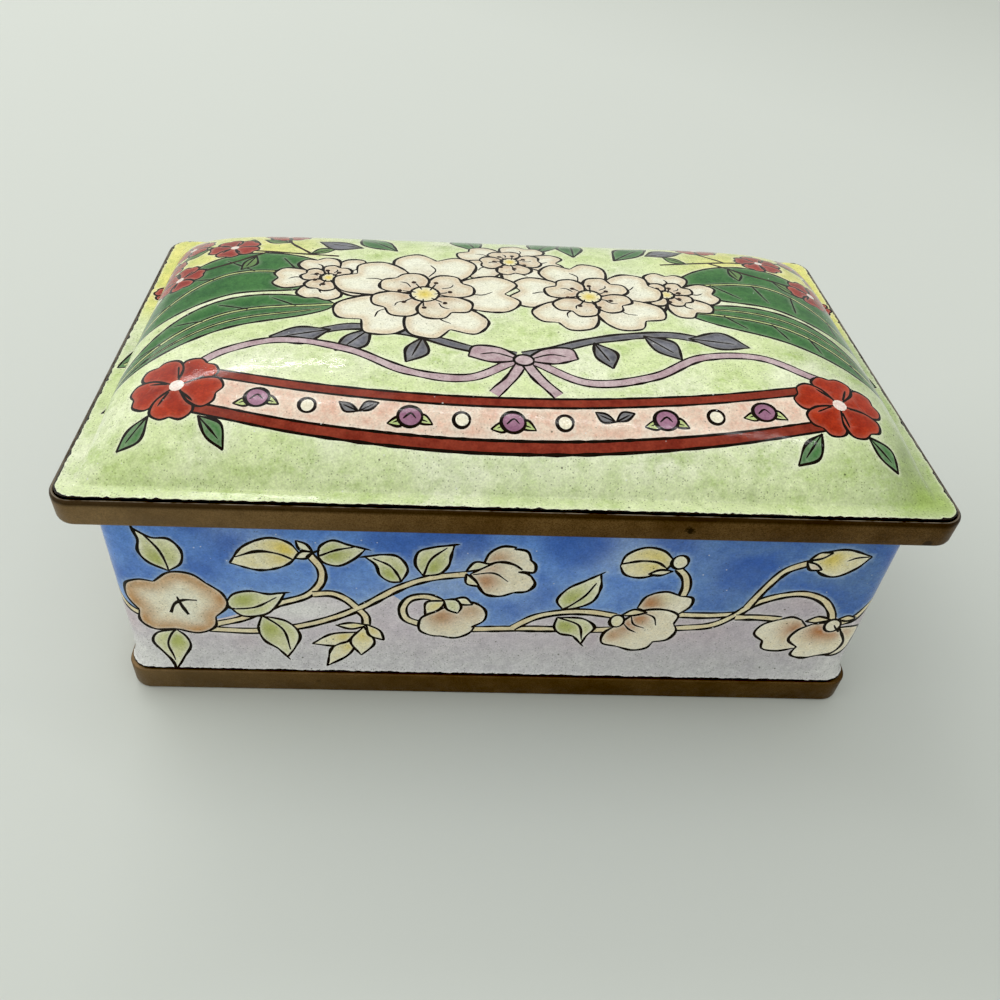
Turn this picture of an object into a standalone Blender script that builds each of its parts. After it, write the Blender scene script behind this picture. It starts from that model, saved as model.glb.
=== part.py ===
"""A lidded rectangular box of enamelled copper with plain bronze edge bands.

Metres, +Z up. The origin is the middle of the underside, +X runs along the length, and -Y is the front.
The box stands on its foot band. The lid has no hinge: it rests on the top edge of the walls, and a lip
below its band keeps it in place.
"""

import math

import bmesh
import bpy

# Driving sizes: the lid's plan and the heights that stand over each other.
LENGTH = 0.126
WIDTH = 0.076
BAND_TOP = 0.045
DOME_RISE = 0.009

# The gap that two pieces keep where they touch.
GAP = 0.0003

# Foot band: a bronze strip with an inward ledge that carries the base plate.
FOOT_INSET = 0.0022
FOOT_HEIGHT = 0.0048
FOOT_RADIUS = 0.0034
FOOT_WIDTH = 0.0026
FOOT_EDGE = 0.0005
LEDGE_WIDTH = 0.0016
LEDGE_HEIGHT = 0.0012
BASE_THICKNESS = 0.0015

# Walls: enamelled copper, a little wider below and coved out over the foot band.
WALL_THICKNESS = 0.0016
WALL_TOP_INSET = 0.0036
WALL_LOW_INSET = 0.0032
COVE_INSET = 0.0027
COVE_HEIGHT = 0.0040
COVE_STEPS = 4
WALL_RADIUS = 0.0038

# Lid band: a bronze strip, with a ledge over the walls and a lip that drops inside them.
BAND_HEIGHT = 0.0048
BAND_RADIUS = 0.0035
BAND_EDGE = 0.0006
BAND_WIDTH = 0.0020
BAND_LEDGE = 0.0012
LIP_DEPTH = 0.0030
LIP_THICKNESS = 0.0012
LIP_PLAY = 0.0005

# Lid shell: a thin dome on a narrow flat flange, set into the top of the band.
SHELL_INSET = 0.0007
SHELL_THICKNESS = 0.0013
SHELL_LIFT = 0.0004
FLANGE_WIDTH = 0.0022
COVE_SOFTNESS = 0.0006
END_FLATNESS = 8.9
END_POWER = 0.69
SIDE_FLATNESS = 4.4
SIDE_POWER = 0.80

CORNER_STEPS = 6
DOME_STEPS_X = 44
DOME_STEPS_Y = 28

HALF_X = LENGTH / 2
HALF_Y = WIDTH / 2
BAND_LOW = BAND_TOP - BAND_HEIGHT
WALL_LOW = FOOT_HEIGHT + GAP
WALL_HIGH = BAND_LOW - GAP


def clear_scene():
    for old in list(bpy.data.objects):
        bpy.data.objects.remove(old, do_unlink=True)


def new_collection(name):
    made = bpy.data.collections.new(name)
    bpy.context.scene.collection.children.link(made)
    return made


def material(name, colour, roughness, metallic):
    made = bpy.data.materials.new(name)
    made.use_nodes = True
    shader = made.node_tree.nodes["Principled BSDF"]
    shader.inputs["Base Color"].default_value = (*colour, 1.0)
    shader.inputs["Roughness"].default_value = roughness
    shader.inputs["Metallic"].default_value = metallic
    made.diffuse_color = (*colour, 1.0)
    return made


def object_from(work, name, collection):
    """Turns a bmesh into an object of that collection."""
    bmesh.ops.recalc_face_normals(work, faces=work.faces)
    mesh = bpy.data.meshes.new(name)
    work.to_mesh(mesh)
    work.free()
    made = bpy.data.objects.new(name, mesh)
    collection.objects.link(made)
    return made


def rounded_block(name, collection, inset, low, high, radius, edge=0.0):
    """A block with the lid's plan less an inset, its upright edges rounded and its flat edges eased."""
    work = bmesh.new()
    bmesh.ops.create_cube(work, size=1.0)
    size = (LENGTH - 2 * inset, WIDTH - 2 * inset, high - low)
    bmesh.ops.scale(work, vec=size, verts=work.verts)
    bmesh.ops.translate(work, vec=(0, 0, (low + high) / 2), verts=work.verts)
    upright = [e for e in work.edges if abs(e.verts[0].co.z - e.verts[1].co.z) > 1e-6]
    bmesh.ops.bevel(work, geom=upright, offset=radius, segments=CORNER_STEPS, profile=0.5, affect="EDGES")
    if edge:
        flat = [e for e in work.edges if abs(e.verts[0].co.z - e.verts[1].co.z) < 1e-6]
        bmesh.ops.bevel(work, geom=flat, offset=edge, segments=2, profile=0.5, affect="EDGES")
    return object_from(work, name, collection)


def cutter(*sizes):
    made = rounded_block(sizes[0], CUTTERS, *sizes[1:])
    made.hide_render = True
    made.display_type = "WIRE"
    return made


def combine(target, other, operation):
    step = target.modifiers.new(operation.lower() + "_" + other.name, "BOOLEAN")
    step.operation = operation
    step.object = other


def finish(piece, look):
    """Gives a piece its material and shades it smooth, with its real edges kept sharp."""
    piece.data.materials.append(look)
    piece.data.shade_smooth()
    piece.data.set_sharp_from_angle(angle=math.radians(35))


def outline(inset, radius):
    """The lid's plan less an inset, as points of a rounded rectangle, anticlockwise."""
    points = []
    for corner, (side_x, side_y) in enumerate(((1, 1), (-1, 1), (-1, -1), (1, -1))):
        middle_x = side_x * (HALF_X - inset - radius)
        middle_y = side_y * (HALF_Y - inset - radius)
        for step in range(CORNER_STEPS + 1):
            angle = math.pi / 2 * (corner + step / CORNER_STEPS)
            points.append((middle_x + radius * math.cos(angle), middle_y + radius * math.sin(angle)))
    return points


def make_foot_band(look):
    """The strip, open in the middle, with a step inside that leaves a ledge under the base plate."""
    band = rounded_block("foot_band", PARTS, FOOT_INSET, 0.0, FOOT_HEIGHT, FOOT_RADIUS, FOOT_EDGE)
    inner = FOOT_INSET + FOOT_WIDTH
    room = cutter("foot_room", inner, LEDGE_HEIGHT, FOOT_HEIGHT * 2, FOOT_RADIUS - FOOT_WIDTH / 2)
    hole = cutter("foot_hole", inner + LEDGE_WIDTH, -FOOT_HEIGHT, FOOT_HEIGHT, FOOT_RADIUS - FOOT_WIDTH / 2)
    combine(band, room, "DIFFERENCE")
    combine(band, hole, "DIFFERENCE")
    finish(band, look)


def make_base_plate(look):
    low = LEDGE_HEIGHT + GAP
    inset = FOOT_INSET + FOOT_WIDTH + GAP
    plate = rounded_block("base_plate", PARTS, inset, low, low + BASE_THICKNESS, FOOT_RADIUS - FOOT_WIDTH / 2)
    finish(plate, look)


def wall_levels():
    """(height, inset) of the walls' outer face: a hollow cove that flares over the foot, then a slight taper."""
    levels = []
    for step in range(COVE_STEPS + 1):
        turn = math.pi / 2 * step / COVE_STEPS
        height = WALL_LOW + COVE_HEIGHT * (1 - math.cos(turn))
        levels.append((height, COVE_INSET + (WALL_LOW_INSET - COVE_INSET) * math.sin(turn)))
    levels.append((WALL_HIGH, WALL_TOP_INSET))
    return levels


def make_body_walls(look):
    """An open band of faces, raised level by level from its lowest outline, then thickened and cut flat below."""
    work = bmesh.new()
    first_height, first_inset = wall_levels()[0]
    ring = [work.verts.new((x, y, first_height)) for x, y in outline(first_inset, WALL_RADIUS)]
    edges = [work.edges.new((a, b)) for a, b in zip(ring, ring[1:] + ring[:1])]
    for height, inset in wall_levels()[1:]:
        raised = bmesh.ops.extrude_edge_only(work, edges=edges)["geom"]
        edges = [g for g in raised if isinstance(g, bmesh.types.BMEdge)]
        above = {}
        for vert in (g for g in raised if isinstance(g, bmesh.types.BMVert)):
            for edge in vert.link_edges:
                if edge.other_vert(vert) in ring:
                    above[ring.index(edge.other_vert(vert))] = vert
        ring = [above[index] for index in range(len(ring))]
        for vert, (x, y) in zip(ring, outline(inset, WALL_RADIUS)):
            vert.co = (x, y, height)
    walls = object_from(work, "body_walls", PARTS)
    shell = walls.modifiers.new("thickness", "SOLIDIFY")
    shell.thickness = WALL_THICKNESS
    shell.offset = -1.0
    shell.use_even_offset = True
    below = cutter("below_walls", 0.0, -FOOT_HEIGHT, WALL_LOW, FOOT_RADIUS)
    combine(walls, below, "DIFFERENCE")
    finish(walls, look)


def make_lid_band(look):
    """The strip with its ledge and lip as one piece, open in the middle, and rebated on top for the shell."""
    band = rounded_block("lid_band", PARTS, 0.0, BAND_LOW, BAND_TOP - SHELL_LIFT, BAND_RADIUS, BAND_EDGE)
    lip_inset = WALL_TOP_INSET + WALL_THICKNESS + LIP_PLAY
    lip_low = BAND_LOW - LIP_DEPTH
    lip = cutter("lip_block", lip_inset, lip_low, BAND_LOW + BAND_LEDGE / 2, BAND_RADIUS / 2)
    opening = cutter("lip_opening", lip_inset + LIP_THICKNESS, lip_low - GAP, BAND_TOP, BAND_RADIUS / 3)
    room = cutter("band_room", BAND_WIDTH, BAND_LOW + BAND_LEDGE, BAND_TOP, BAND_RADIUS / 2)
    rebate_low = BAND_TOP - SHELL_THICKNESS - GAP
    rebate = cutter("shell_rebate", SHELL_INSET - GAP, rebate_low, BAND_TOP, BAND_RADIUS - SHELL_INSET)
    combine(band, lip, "UNION")
    combine(band, opening, "DIFFERENCE")
    combine(band, room, "DIFFERENCE")
    combine(band, rebate, "DIFFERENCE")
    finish(band, look)


def dome_height(x, y):
    """Height of the lid above its flange: a cushion that is flat along the middle and steep at its foot."""
    reach_x = HALF_X - SHELL_INSET - FLANGE_WIDTH
    reach_y = HALF_Y - SHELL_INSET - FLANGE_WIDTH
    along = abs(x) / reach_x
    across = abs(y) / reach_y
    if along >= 1 or across >= 1:
        return 0.0
    cushion = (1 - along**END_FLATNESS) ** END_POWER * (1 - across**SIDE_FLATNESS) ** SIDE_POWER
    from_foot = min(reach_x - abs(x), reach_y - abs(y))
    cove = from_foot**2 / (from_foot**2 + COVE_SOFTNESS**2)
    return DOME_RISE * cushion * cove


def rounded_place(x, y, half_x, half_y, radius):
    """Moves a point of a plain rectangle into the same rectangle with round corners."""
    over_x = (abs(x) - half_x + radius) / radius
    over_y = (abs(y) - half_y + radius) / radius
    if over_x <= 0 or over_y <= 0:
        return x, y
    round_x = half_x - radius + radius * over_x * math.sqrt(1 - over_y**2 / 2)
    round_y = half_y - radius + radius * over_y * math.sqrt(1 - over_x**2 / 2)
    return math.copysign(round_x, x), math.copysign(round_y, y)


def make_lid_shell(look):
    """A grid, closer towards its edges, raised to the dome and thickened downwards."""
    work = bmesh.new()
    bmesh.ops.create_grid(work, x_segments=DOME_STEPS_X, y_segments=DOME_STEPS_Y, size=1.0)
    half_x = HALF_X - SHELL_INSET
    half_y = HALF_Y - SHELL_INSET
    for vert in work.verts:
        x = half_x * math.sin(vert.co.x * math.pi / 2)
        y = half_y * math.sin(vert.co.y * math.pi / 2)
        x, y = rounded_place(x, y, half_x, half_y, BAND_RADIUS - SHELL_INSET)
        vert.co = (x, y, BAND_TOP + dome_height(x, y))
    shell = object_from(work, "lid_shell", PARTS)
    if shell.data.polygons[0].normal.z < 0:
        shell.data.flip_normals()
    thick = shell.modifiers.new("thickness", "SOLIDIFY")
    thick.thickness = SHELL_THICKNESS
    thick.offset = -1.0
    thick.use_even_offset = True
    finish(shell, look)


clear_scene()
PARTS = new_collection("enamel_box")
CUTTERS = new_collection("cutters")
CUTTERS.hide_render = True

BRONZE = material("bronze", (0.25, 0.15, 0.075), 0.42, 1.0)
LID_ENAMEL = material("lid_enamel", (0.70, 0.76, 0.46), 0.18, 0.0)
WALL_ENAMEL = material("wall_enamel", (0.36, 0.50, 0.78), 0.18, 0.0)
BASE_ENAMEL = material("base_enamel", (0.30, 0.36, 0.50), 0.30, 0.0)

make_foot_band(BRONZE)
make_base_plate(BASE_ENAMEL)
make_body_walls(WALL_ENAMEL)
make_lid_band(BRONZE)
make_lid_shell(LID_ENAMEL)
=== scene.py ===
"""The looks of the enamel box: painted glaze on the lid and walls, bronze bands, light and camera.

Metres, in the frame of the CAD. The pictures are drawn in millimetres on flat sheets: the lid's in plan,
the walls' on their unrolled outer face, as distance round them from the middle of the front, and height.
A sheet is cut into triangles along every brush line, coloured, and laid on the curved copper.
"""

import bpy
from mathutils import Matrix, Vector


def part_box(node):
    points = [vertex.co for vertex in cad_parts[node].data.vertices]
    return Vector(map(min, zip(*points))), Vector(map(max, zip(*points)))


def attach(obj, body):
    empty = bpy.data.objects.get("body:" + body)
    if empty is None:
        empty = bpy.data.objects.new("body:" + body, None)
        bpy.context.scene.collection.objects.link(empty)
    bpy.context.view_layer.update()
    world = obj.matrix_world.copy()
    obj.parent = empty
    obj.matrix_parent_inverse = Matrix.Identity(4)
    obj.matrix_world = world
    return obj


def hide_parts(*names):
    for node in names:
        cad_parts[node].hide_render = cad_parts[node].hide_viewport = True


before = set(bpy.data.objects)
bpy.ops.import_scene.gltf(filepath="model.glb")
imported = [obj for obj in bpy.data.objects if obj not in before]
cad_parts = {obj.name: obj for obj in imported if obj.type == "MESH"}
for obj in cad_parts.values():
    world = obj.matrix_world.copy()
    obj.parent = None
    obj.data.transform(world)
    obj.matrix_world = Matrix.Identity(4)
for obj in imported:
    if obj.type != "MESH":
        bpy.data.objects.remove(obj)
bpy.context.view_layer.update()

import copy
import math

import bpy
import numpy as np
from mathutils import Matrix, Vector
from mathutils.geometry import delaunay_2d_cdt
from mathutils.kdtree import KDTree

# Sizes of the copper, in millimetres, read from the frame's boxes; no box gives the flange's height.
MM = 0.001


def highest(node, axis):
    """The highest coordinate of a node along an axis, in millimetres."""
    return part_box(node)[1][axis] / MM


HALF_X = highest("lid_band", 0)
HALF_Y = highest("lid_band", 1)
HALF = np.array([HALF_X, HALF_Y])
SHELL_INSET = HALF_X - highest("lid_shell", 0)
BAND_HIGH = highest("lid_band", 2)
FOOT_INSET = HALF_X - highest("foot_band", 0)
FOOT_HIGH = highest("foot_band", 2)
WALL_HIGH = highest("body_walls", 2)
WALL_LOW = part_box("body_walls")[0].z / MM
FLANGE_HIGH = 45.0
DOME_RISE = highest("lid_shell", 2) - FLANGE_HIGH

# The rest of the sections, as the solids have them.
BAND_LOW = 40.2
BAND_RADIUS = 3.5
BAND_WIDTH = 2.0
BAND_LEDGE = 1.2
LIP_OUTER = 5.7
LIP_INNER = 6.9
LIP_LOW = 37.2
FOOT_RADIUS = 3.4
FOOT_WIDTH = 2.6
FOOT_LEDGE = 1.6
FOOT_STEP = 1.2
SHELL_THICKNESS = 1.3
FLANGE_WIDTH = 2.2
COVE_SOFTNESS = 0.6
END_FLATNESS, END_POWER = 8.9, 0.69
SIDE_FLATNESS, SIDE_POWER = 4.4, 0.80
WALL_RADIUS = 3.8
WALL_THICKNESS = 1.6
WALL_TOP_INSET = 3.6
WALL_LOW_INSET = 3.2
COVE_INSET = 2.45
COVE_HEIGHT = 4.0

# Brush lines, in millimetres. The halo is the paler paint right beside the ink.
INK_WIDTH = 0.5
LID_INK = 0.5
STEM_WIDTH = 1.2
BRUSH_STEP = 0.34
FINE_INK, VEIN_INK = 0.3, 0.34
UNEVEN, UNEVEN_RUN = 0.32, 3.6
HALO = 0.24
HALO_SPREAD = 1.5

# How the sheets are cut: points inside shaded areas, tolerances, and the decimals at which points are one.
FILLING_STEP, FILLING_JITTER = 0.62, 0.2
CUT_TOLERANCE, BACK_TOLERANCE = 1e-4, 1e-5
WELD_DECIMALS = 5

# The steps over which slopes are taken, and the least lengths to divide by.
LID_STEP, WALL_STEP = 0.02, 0.05
LEAST_CHORD = 1e-6
NEVER_ZERO = 1e-12

random_source = np.random.default_rng(11)


# Colours.

def linear(red, green, blue):
    """A display colour out of 255 as scene-linear values."""
    share = np.array((red, green, blue)) / 255.0
    return np.where(share <= 0.04045, share / 12.92, ((share + 0.055) / 1.055) ** 2.4)


def blend(a, b, share):
    """Mixes colours point by point; share is one number for each point."""
    share = np.clip(np.asarray(share, float), 0, 1)[..., None]
    return a * (1 - share) + b * share


def ramp(value, low, high):
    """0 below low, 1 above high, smooth between."""
    share = np.clip((value - low) / (high - low), 0, 1)
    return share * share * (3 - 2 * share)


def layered(colour, *layers):
    """A colour under layers of display colours, each with its share at each point."""
    for tint, share in layers:
        colour = blend(colour, linear(*tint), share)
    return colour


def dab(points, x, y, reach):
    """1 at a place, fading out round it."""
    return np.exp(-((points[:, 0] - x) ** 2 + (points[:, 1] - y) ** 2) / reach**2)


def paint_rows(colour, pooling, pooled, specks):
    """The colour with its pooling, and the pooled colour with its specks, for each point."""
    count = len(colour)
    return (np.column_stack([colour, np.broadcast_to(pooling, count)]),
            np.column_stack([pooled, np.broadcast_to(specks, count)]))


class Cloud:
    """Soft irregular variation over points, from 0 to 1, made of a few random waves."""

    def __init__(self, size, dimensions=2, waves=8):
        direction = random_source.normal(size=(dimensions, waves))
        length = size * random_source.uniform(0.6, 1.7, waves)
        self.direction = direction / np.linalg.norm(direction, axis=0) * (2 * math.pi / length)
        self.phase = random_source.uniform(0, 2 * math.pi, waves)

    def __call__(self, points):
        value = np.sin(points @ self.direction + self.phase).mean(1)
        return np.clip(0.5 + 0.9 * value, 0, 1)


# Curves and brush strokes.

def smooth(points, step=BRUSH_STEP):
    """A smooth curve through the points (centripetal Catmull-Rom), as points about a step apart."""
    p = np.asarray(points, float)
    p = np.vstack([2 * p[0] - p[1], p, 2 * p[-1] - p[-2]])
    made = []
    for a, b, c, d in zip(p, p[1:], p[2:], p[3:]):
        t0 = 0.0
        t1 = t0 + math.sqrt(max(np.hypot(*(b - a)), LEAST_CHORD))
        t2 = t1 + math.sqrt(max(np.hypot(*(c - b)), LEAST_CHORD))
        t3 = t2 + math.sqrt(max(np.hypot(*(d - c)), LEAST_CHORD))
        count = max(2, int(np.hypot(*(c - b)) / step))
        t = np.linspace(t1, t2, count, endpoint=False)[:, None]
        ab = a + (b - a) * (t - t0) / (t1 - t0)
        bc = b + (c - b) * (t - t1) / (t2 - t1)
        cd = c + (d - c) * (t - t2) / (t3 - t2)
        abc = ab + (bc - ab) * (t - t0) / (t2 - t0)
        bcd = bc + (cd - bc) * (t - t1) / (t3 - t1)
        made.append(abc + (bcd - abc) * (t - t1) / (t2 - t1))
    made.append(p[-2:-1])
    return np.vstack(made)


def across(line):
    """Unit vectors square to a line, to its left, at each of its points."""
    run = np.gradient(line, axis=0)
    run /= np.maximum(np.hypot(*run.T), NEVER_ZERO)[:, None]
    return np.stack([-run[:, 1], run[:, 0]], 1)


def along(line):
    """Distance along a line at each of its points."""
    return np.concatenate([[0], np.cumsum(np.hypot(*np.diff(line, axis=0).T))])


def sides(line, half):
    """The two lines at half a width from a line, to its left and to its right."""
    offset = across(line) * half[:, None]
    return line + offset, line - offset


def between(left, right):
    """The outline of the area between two lines."""
    return np.vstack([left, right[::-1]])


def wobble(distance, size):
    """A slow random sway along a line, from -1 to 1."""
    value = np.zeros(len(distance))
    for _ in range(3):
        length = size * random_source.uniform(0.6, 1.8)
        value += np.sin(distance * 2 * math.pi / length + random_source.uniform(0, 2 * math.pi))
    return value / 3


def brush(line, width, ends):
    """The outline of a brush stroke: thinner at its ends, fuller between, and a little uneven."""
    distance = along(line)
    share = distance / distance[-1]
    fullness = np.sin(math.pi * share) ** 0.55
    taper = ends[0] * (1 - share) + ends[1] * share
    half = width / 2 * (taper + (1 - taper) * fullness)
    half *= 1 + UNEVEN * wobble(distance, UNEVEN_RUN)
    return between(*sides(line, half))


def disc(centre, radius, squeeze=1.0, count=22):
    """A closed, slightly uneven round outline."""
    turn = np.linspace(0, 2 * math.pi, count, endpoint=False)
    reach = radius * (1 + 0.04 * wobble(turn, 2 * math.pi))
    return np.stack([centre[0] + reach * np.cos(turn), centre[1] + reach * squeeze * np.sin(turn)], 1)


# Paints.

class Wash:
    """One paint: its colour, what it pools to, its specks and a shaded rim (colour, reach, strength).

    edge says how much paler it stays right beside the ink, where the brush stopped short of it.
    """

    def __init__(self, colour, pooled, pooling=0.7, specks=0.5, rim=None, edge=0.45):
        self.colour = linear(*colour)
        self.pooled = linear(*pooled)
        self.pooling = pooling
        self.specks = specks
        self.rim = rim
        self.stains = ()
        self.edge = edge

    def stained(self, *stains):
        """The same paint with stains: (x, y, reach, colour, strength)."""
        made = copy.copy(self)
        made.stains = (*self.stains, *stains)
        return made

    def at(self, points, outline, halo):
        """The paint rows at points of an area; halo is 1 at the ink and falls to 0 away from it."""
        layers = []
        if self.rim:
            tint, reach, strength = self.rim
            near = np.exp(-((distance_to(points, outline) / reach) ** 3)) * strength
            layers.append((tint, near * (0.7 + 0.3 * RIM_CLOUD(points)), near * 0.8))
        for x, y, reach, tint, strength in self.stains:
            near = dab(points, x, y, reach) * strength
            layers.append((tint, near, near * 0.8))
        layers.append((PALE_EDGE, halo * self.edge, halo * self.edge))
        colour = layered(self.colour, *((tint, share) for tint, share, _ in layers))
        pooled = layered(self.pooled, *((tint, share) for tint, _, share in layers))
        return paint_rows(colour, self.pooling, pooled, self.specks)


def distance_to(points, outline):
    """Distance from each point to a closed outline."""
    best = np.full(len(points), np.inf)
    for a, b in zip(outline, np.roll(outline, -1, axis=0)):
        run = b - a
        share = np.clip(((points - a) @ run) / max(run @ run, NEVER_ZERO), 0, 1)
        best = np.minimum(best, np.hypot(*(points - a - share[:, None] * run).T))
    return best


RIM_CLOUD = Cloud(3.0)
PALE_EDGE = (250, 247, 232)

INK = Wash((12, 7, 4), (36, 18, 8), pooling=0.6, specks=0.0, edge=0.0)
SOFT_INK = Wash((52, 30, 20), (22, 14, 10), pooling=0.6, specks=0.0, edge=0.0)
STEM = Wash((244, 232, 192), (228, 200, 148), specks=0.3, rim=((214, 192, 140), 0.2, 0.4), edge=0.2)
LEAF = Wash((236, 234, 196), (208, 210, 144), specks=0.4, rim=((242, 242, 214), 0.7, 0.8))
BUD = Wash((250, 244, 212), (238, 224, 166), specks=0.3, rim=((252, 248, 226), 0.5, 0.4))
CREAM = Wash((250, 243, 220), (238, 222, 184), pooling=0.6, specks=0.4)
CREAM_BROWN = Wash((250, 244, 222), (238, 216, 176), pooling=0.7, specks=0.6, rim=((194, 136, 70), 2.8, 1.0))
PEACH = (182, 118, 68)
YELLOW = (230, 204, 70)
LEAF_GREEN = (166, 176, 64)


class Picture:
    """Areas of paint on a sheet, later ones over earlier ones."""

    def __init__(self, ground):
        self.ground = ground
        self.areas = []

    def area(self, outline, wash):
        self.areas.append((np.asarray(outline, float), wash))

    def line(self, points, width=INK_WIDTH, ends=(0.55, 0.3), wash=INK):
        """One brush stroke along a smooth curve through the points."""
        self.area(brush(smooth(points), width, ends), wash)

    def shape(self, runs, wash, width=INK_WIDTH):
        """An area bounded by brush strokes, one for each run; a run starts where the last one ended."""
        lines = [smooth(run) for run in runs]
        self.area(np.vstack([line[:-1] for line in lines]), wash)
        for line in lines:
            self.area(brush(line, width, (0.6, 0.45)), INK)

    def round(self, centre, radius, wash, squeeze=1.0):
        """A round area with a brush line about it."""
        outline = disc(centre, radius, squeeze)
        self.area(outline, wash)
        self.area(brush(np.vstack([outline, outline[:1]]), INK_WIDTH, (0.8, 0.7)), INK)

    def stem(self, points, width=STEM_WIDTH, wash=STEM, ink=INK_WIDTH):
        """A ribbon of paint between two brush lines, open at its ends."""
        line = smooth(points)
        left, right = sides(line, width / 2 * (1 + 0.08 * wobble(along(line), 8.0)))
        self.area(between(left, right), wash)
        self.area(brush(left, ink * 0.85, (0.5, 0.5)), INK)
        self.area(brush(right, ink * 1.1, (0.5, 0.5)), INK)

    def leaf(self, base, left, tip, right, vein):
        """Two lobes with a vein between them; left and right list the points that each side passes."""
        middle = np.mean([base, tip], axis=0)
        wash = LEAF.stained((*(middle * 0.6 + np.array(base) * 0.4), 2.2, LEAF_GREEN, 0.75))
        self.shape([[base, *left, tip], [tip, *right, base]], wash)
        near, far = (math.dist(vein[end], base) for end in (0, -1))
        vein = (base, *vein) if near < far else (*vein, base)
        self.line(vein, INK_WIDTH * 0.85, (0.9, 0.4))
        run = np.array(tip) - np.array(left[-1])
        self.line((left[-1], tip, tip + run * 0.9 / np.hypot(*run)), INK_WIDTH, (0.3, 0.1))

    def petal(self, base, tip, width, wash, bend=0.0, ink=INK_WIDTH):
        """A pointed oval from base to tip; bend sways it to its left."""
        base, tip = np.array(base, float), np.array(tip, float)
        run = tip - base
        square = np.array([-run[1], run[0]]) / np.hypot(*run)
        middle = base + run * 0.52 + square * bend
        left, right = middle + square * width / 2, middle - square * width / 2
        self.shape([[base, left, tip], [tip, right, base]], wash, ink)


def inside(points, outline):
    """Which points an outline winds round, by the sum of its signed crossings."""
    found = np.zeros(len(points), int)
    x, y = points[:, 0], points[:, 1]
    for a, b in zip(outline, np.roll(outline, -1, axis=0)):
        if a[1] == b[1]:
            continue
        upward = (a[1] <= y) & (b[1] > y)
        downward = (b[1] <= y) & (a[1] > y)
        turn = (b[0] - a[0]) * (y - a[1]) - (x - a[0]) * (b[1] - a[1])
        found += (upward & (turn > 0)).astype(int) - (downward & (turn < 0)).astype(int)
    return found != 0


def cut_sheet(picture, domain, grid):
    """Triangles of the sheet that follow every outline, with the colours at their corners.

    Returns the sheet's points, the triangles, and for each triangle's corners the two paint rows.
    """
    points = [np.asarray(domain), grid[inside(grid, domain)]]
    edges = [closed_edges(len(domain), 0)]
    count = len(points[0]) + len(points[1])
    for outline, wash in picture.areas:
        points.append(outline)
        edges.append(closed_edges(len(outline), count))
        count += len(outline)
        if wash.rim or wash.stains:
            points.append(filling(outline))
            count += len(points[-1])
        if wash is INK:
            points.append(outline[::3] - across(outline)[::3] * HALO * HALO_SPREAD)
            count += len(points[-1])
    places = [Vector(p) for p in np.vstack(points)]
    out = delaunay_2d_cdt(places, np.vstack(edges).tolist(), [], 0, CUT_TOLERANCE, False)
    flat = np.array([v[:] for v in out[0]])
    faces = np.array(out[2])
    middle = flat[faces].mean(1)
    faces = faces[inside(middle, domain)]
    middle = flat[faces].mean(1)

    owner = np.full(len(faces), -1)
    for index in range(len(picture.areas) - 1, -1, -1):
        outline = picture.areas[index][0]
        low, high = outline.min(0), outline.max(0)
        near = np.flatnonzero((owner < 0) & (middle >= low).all(1) & (middle <= high).all(1))
        if len(near):
            owner[near[inside(middle[near], outline)]] = index

    inked = np.isin(owner, [index for index, (_, wash) in enumerate(picture.areas) if wash is INK])
    ink = flat[np.unique(faces[inked])]
    tree = KDTree(len(ink))
    for index, (x, y) in enumerate(ink):
        tree.insert((x, y, 0), index)
    tree.balance()
    away = np.array([tree.find((x, y, 0))[2] for x, y in flat])
    halo = np.exp(-((away / HALO) ** 2))

    paint = np.zeros((len(faces), 3, 4))
    pooled = np.zeros((len(faces), 3, 4))
    for index in np.unique(owner):
        own = owner == index
        corners = flat[faces[own]].reshape(-1, 2)
        glow = halo[faces[own]].reshape(-1)
        if index < 0:
            colours = picture.ground(corners, glow)
        else:
            outline, wash = picture.areas[index]
            colours = wash.at(corners, outline, glow)
        paint[own] = colours[0].reshape(-1, 3, 4)
        pooled[own] = colours[1].reshape(-1, 3, 4)
    return flat, faces, paint, pooled


def crossed(x, y):
    """A point for every pair of an x and a y."""
    return np.stack(np.meshgrid(x, y), -1).reshape(-1, 2)


def filling(outline):
    """Scattered points inside an outline, where its paint changes over a short way."""
    low, high = outline.min(0), outline.max(0)
    points = crossed(*(np.arange(a + FILLING_STEP / 2, b, FILLING_STEP) for a, b in zip(low, high)))
    points = points + random_source.uniform(-FILLING_JITTER, FILLING_JITTER, points.shape)
    return points[inside(points, outline)]


def closed_edges(count, first):
    index = np.arange(count)
    return np.stack([index, (index + 1) % count], 1) + first


def border(faces):
    """The edges that only one triangle has, each in its triangle's direction."""
    edges = np.concatenate([faces[:, [0, 1]], faces[:, [1, 2]], faces[:, [2, 0]]])
    key = np.sort(edges, axis=1)
    _, index, count = np.unique(key, axis=0, return_index=True, return_counts=True)
    return edges[index[count == 1]]


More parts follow.
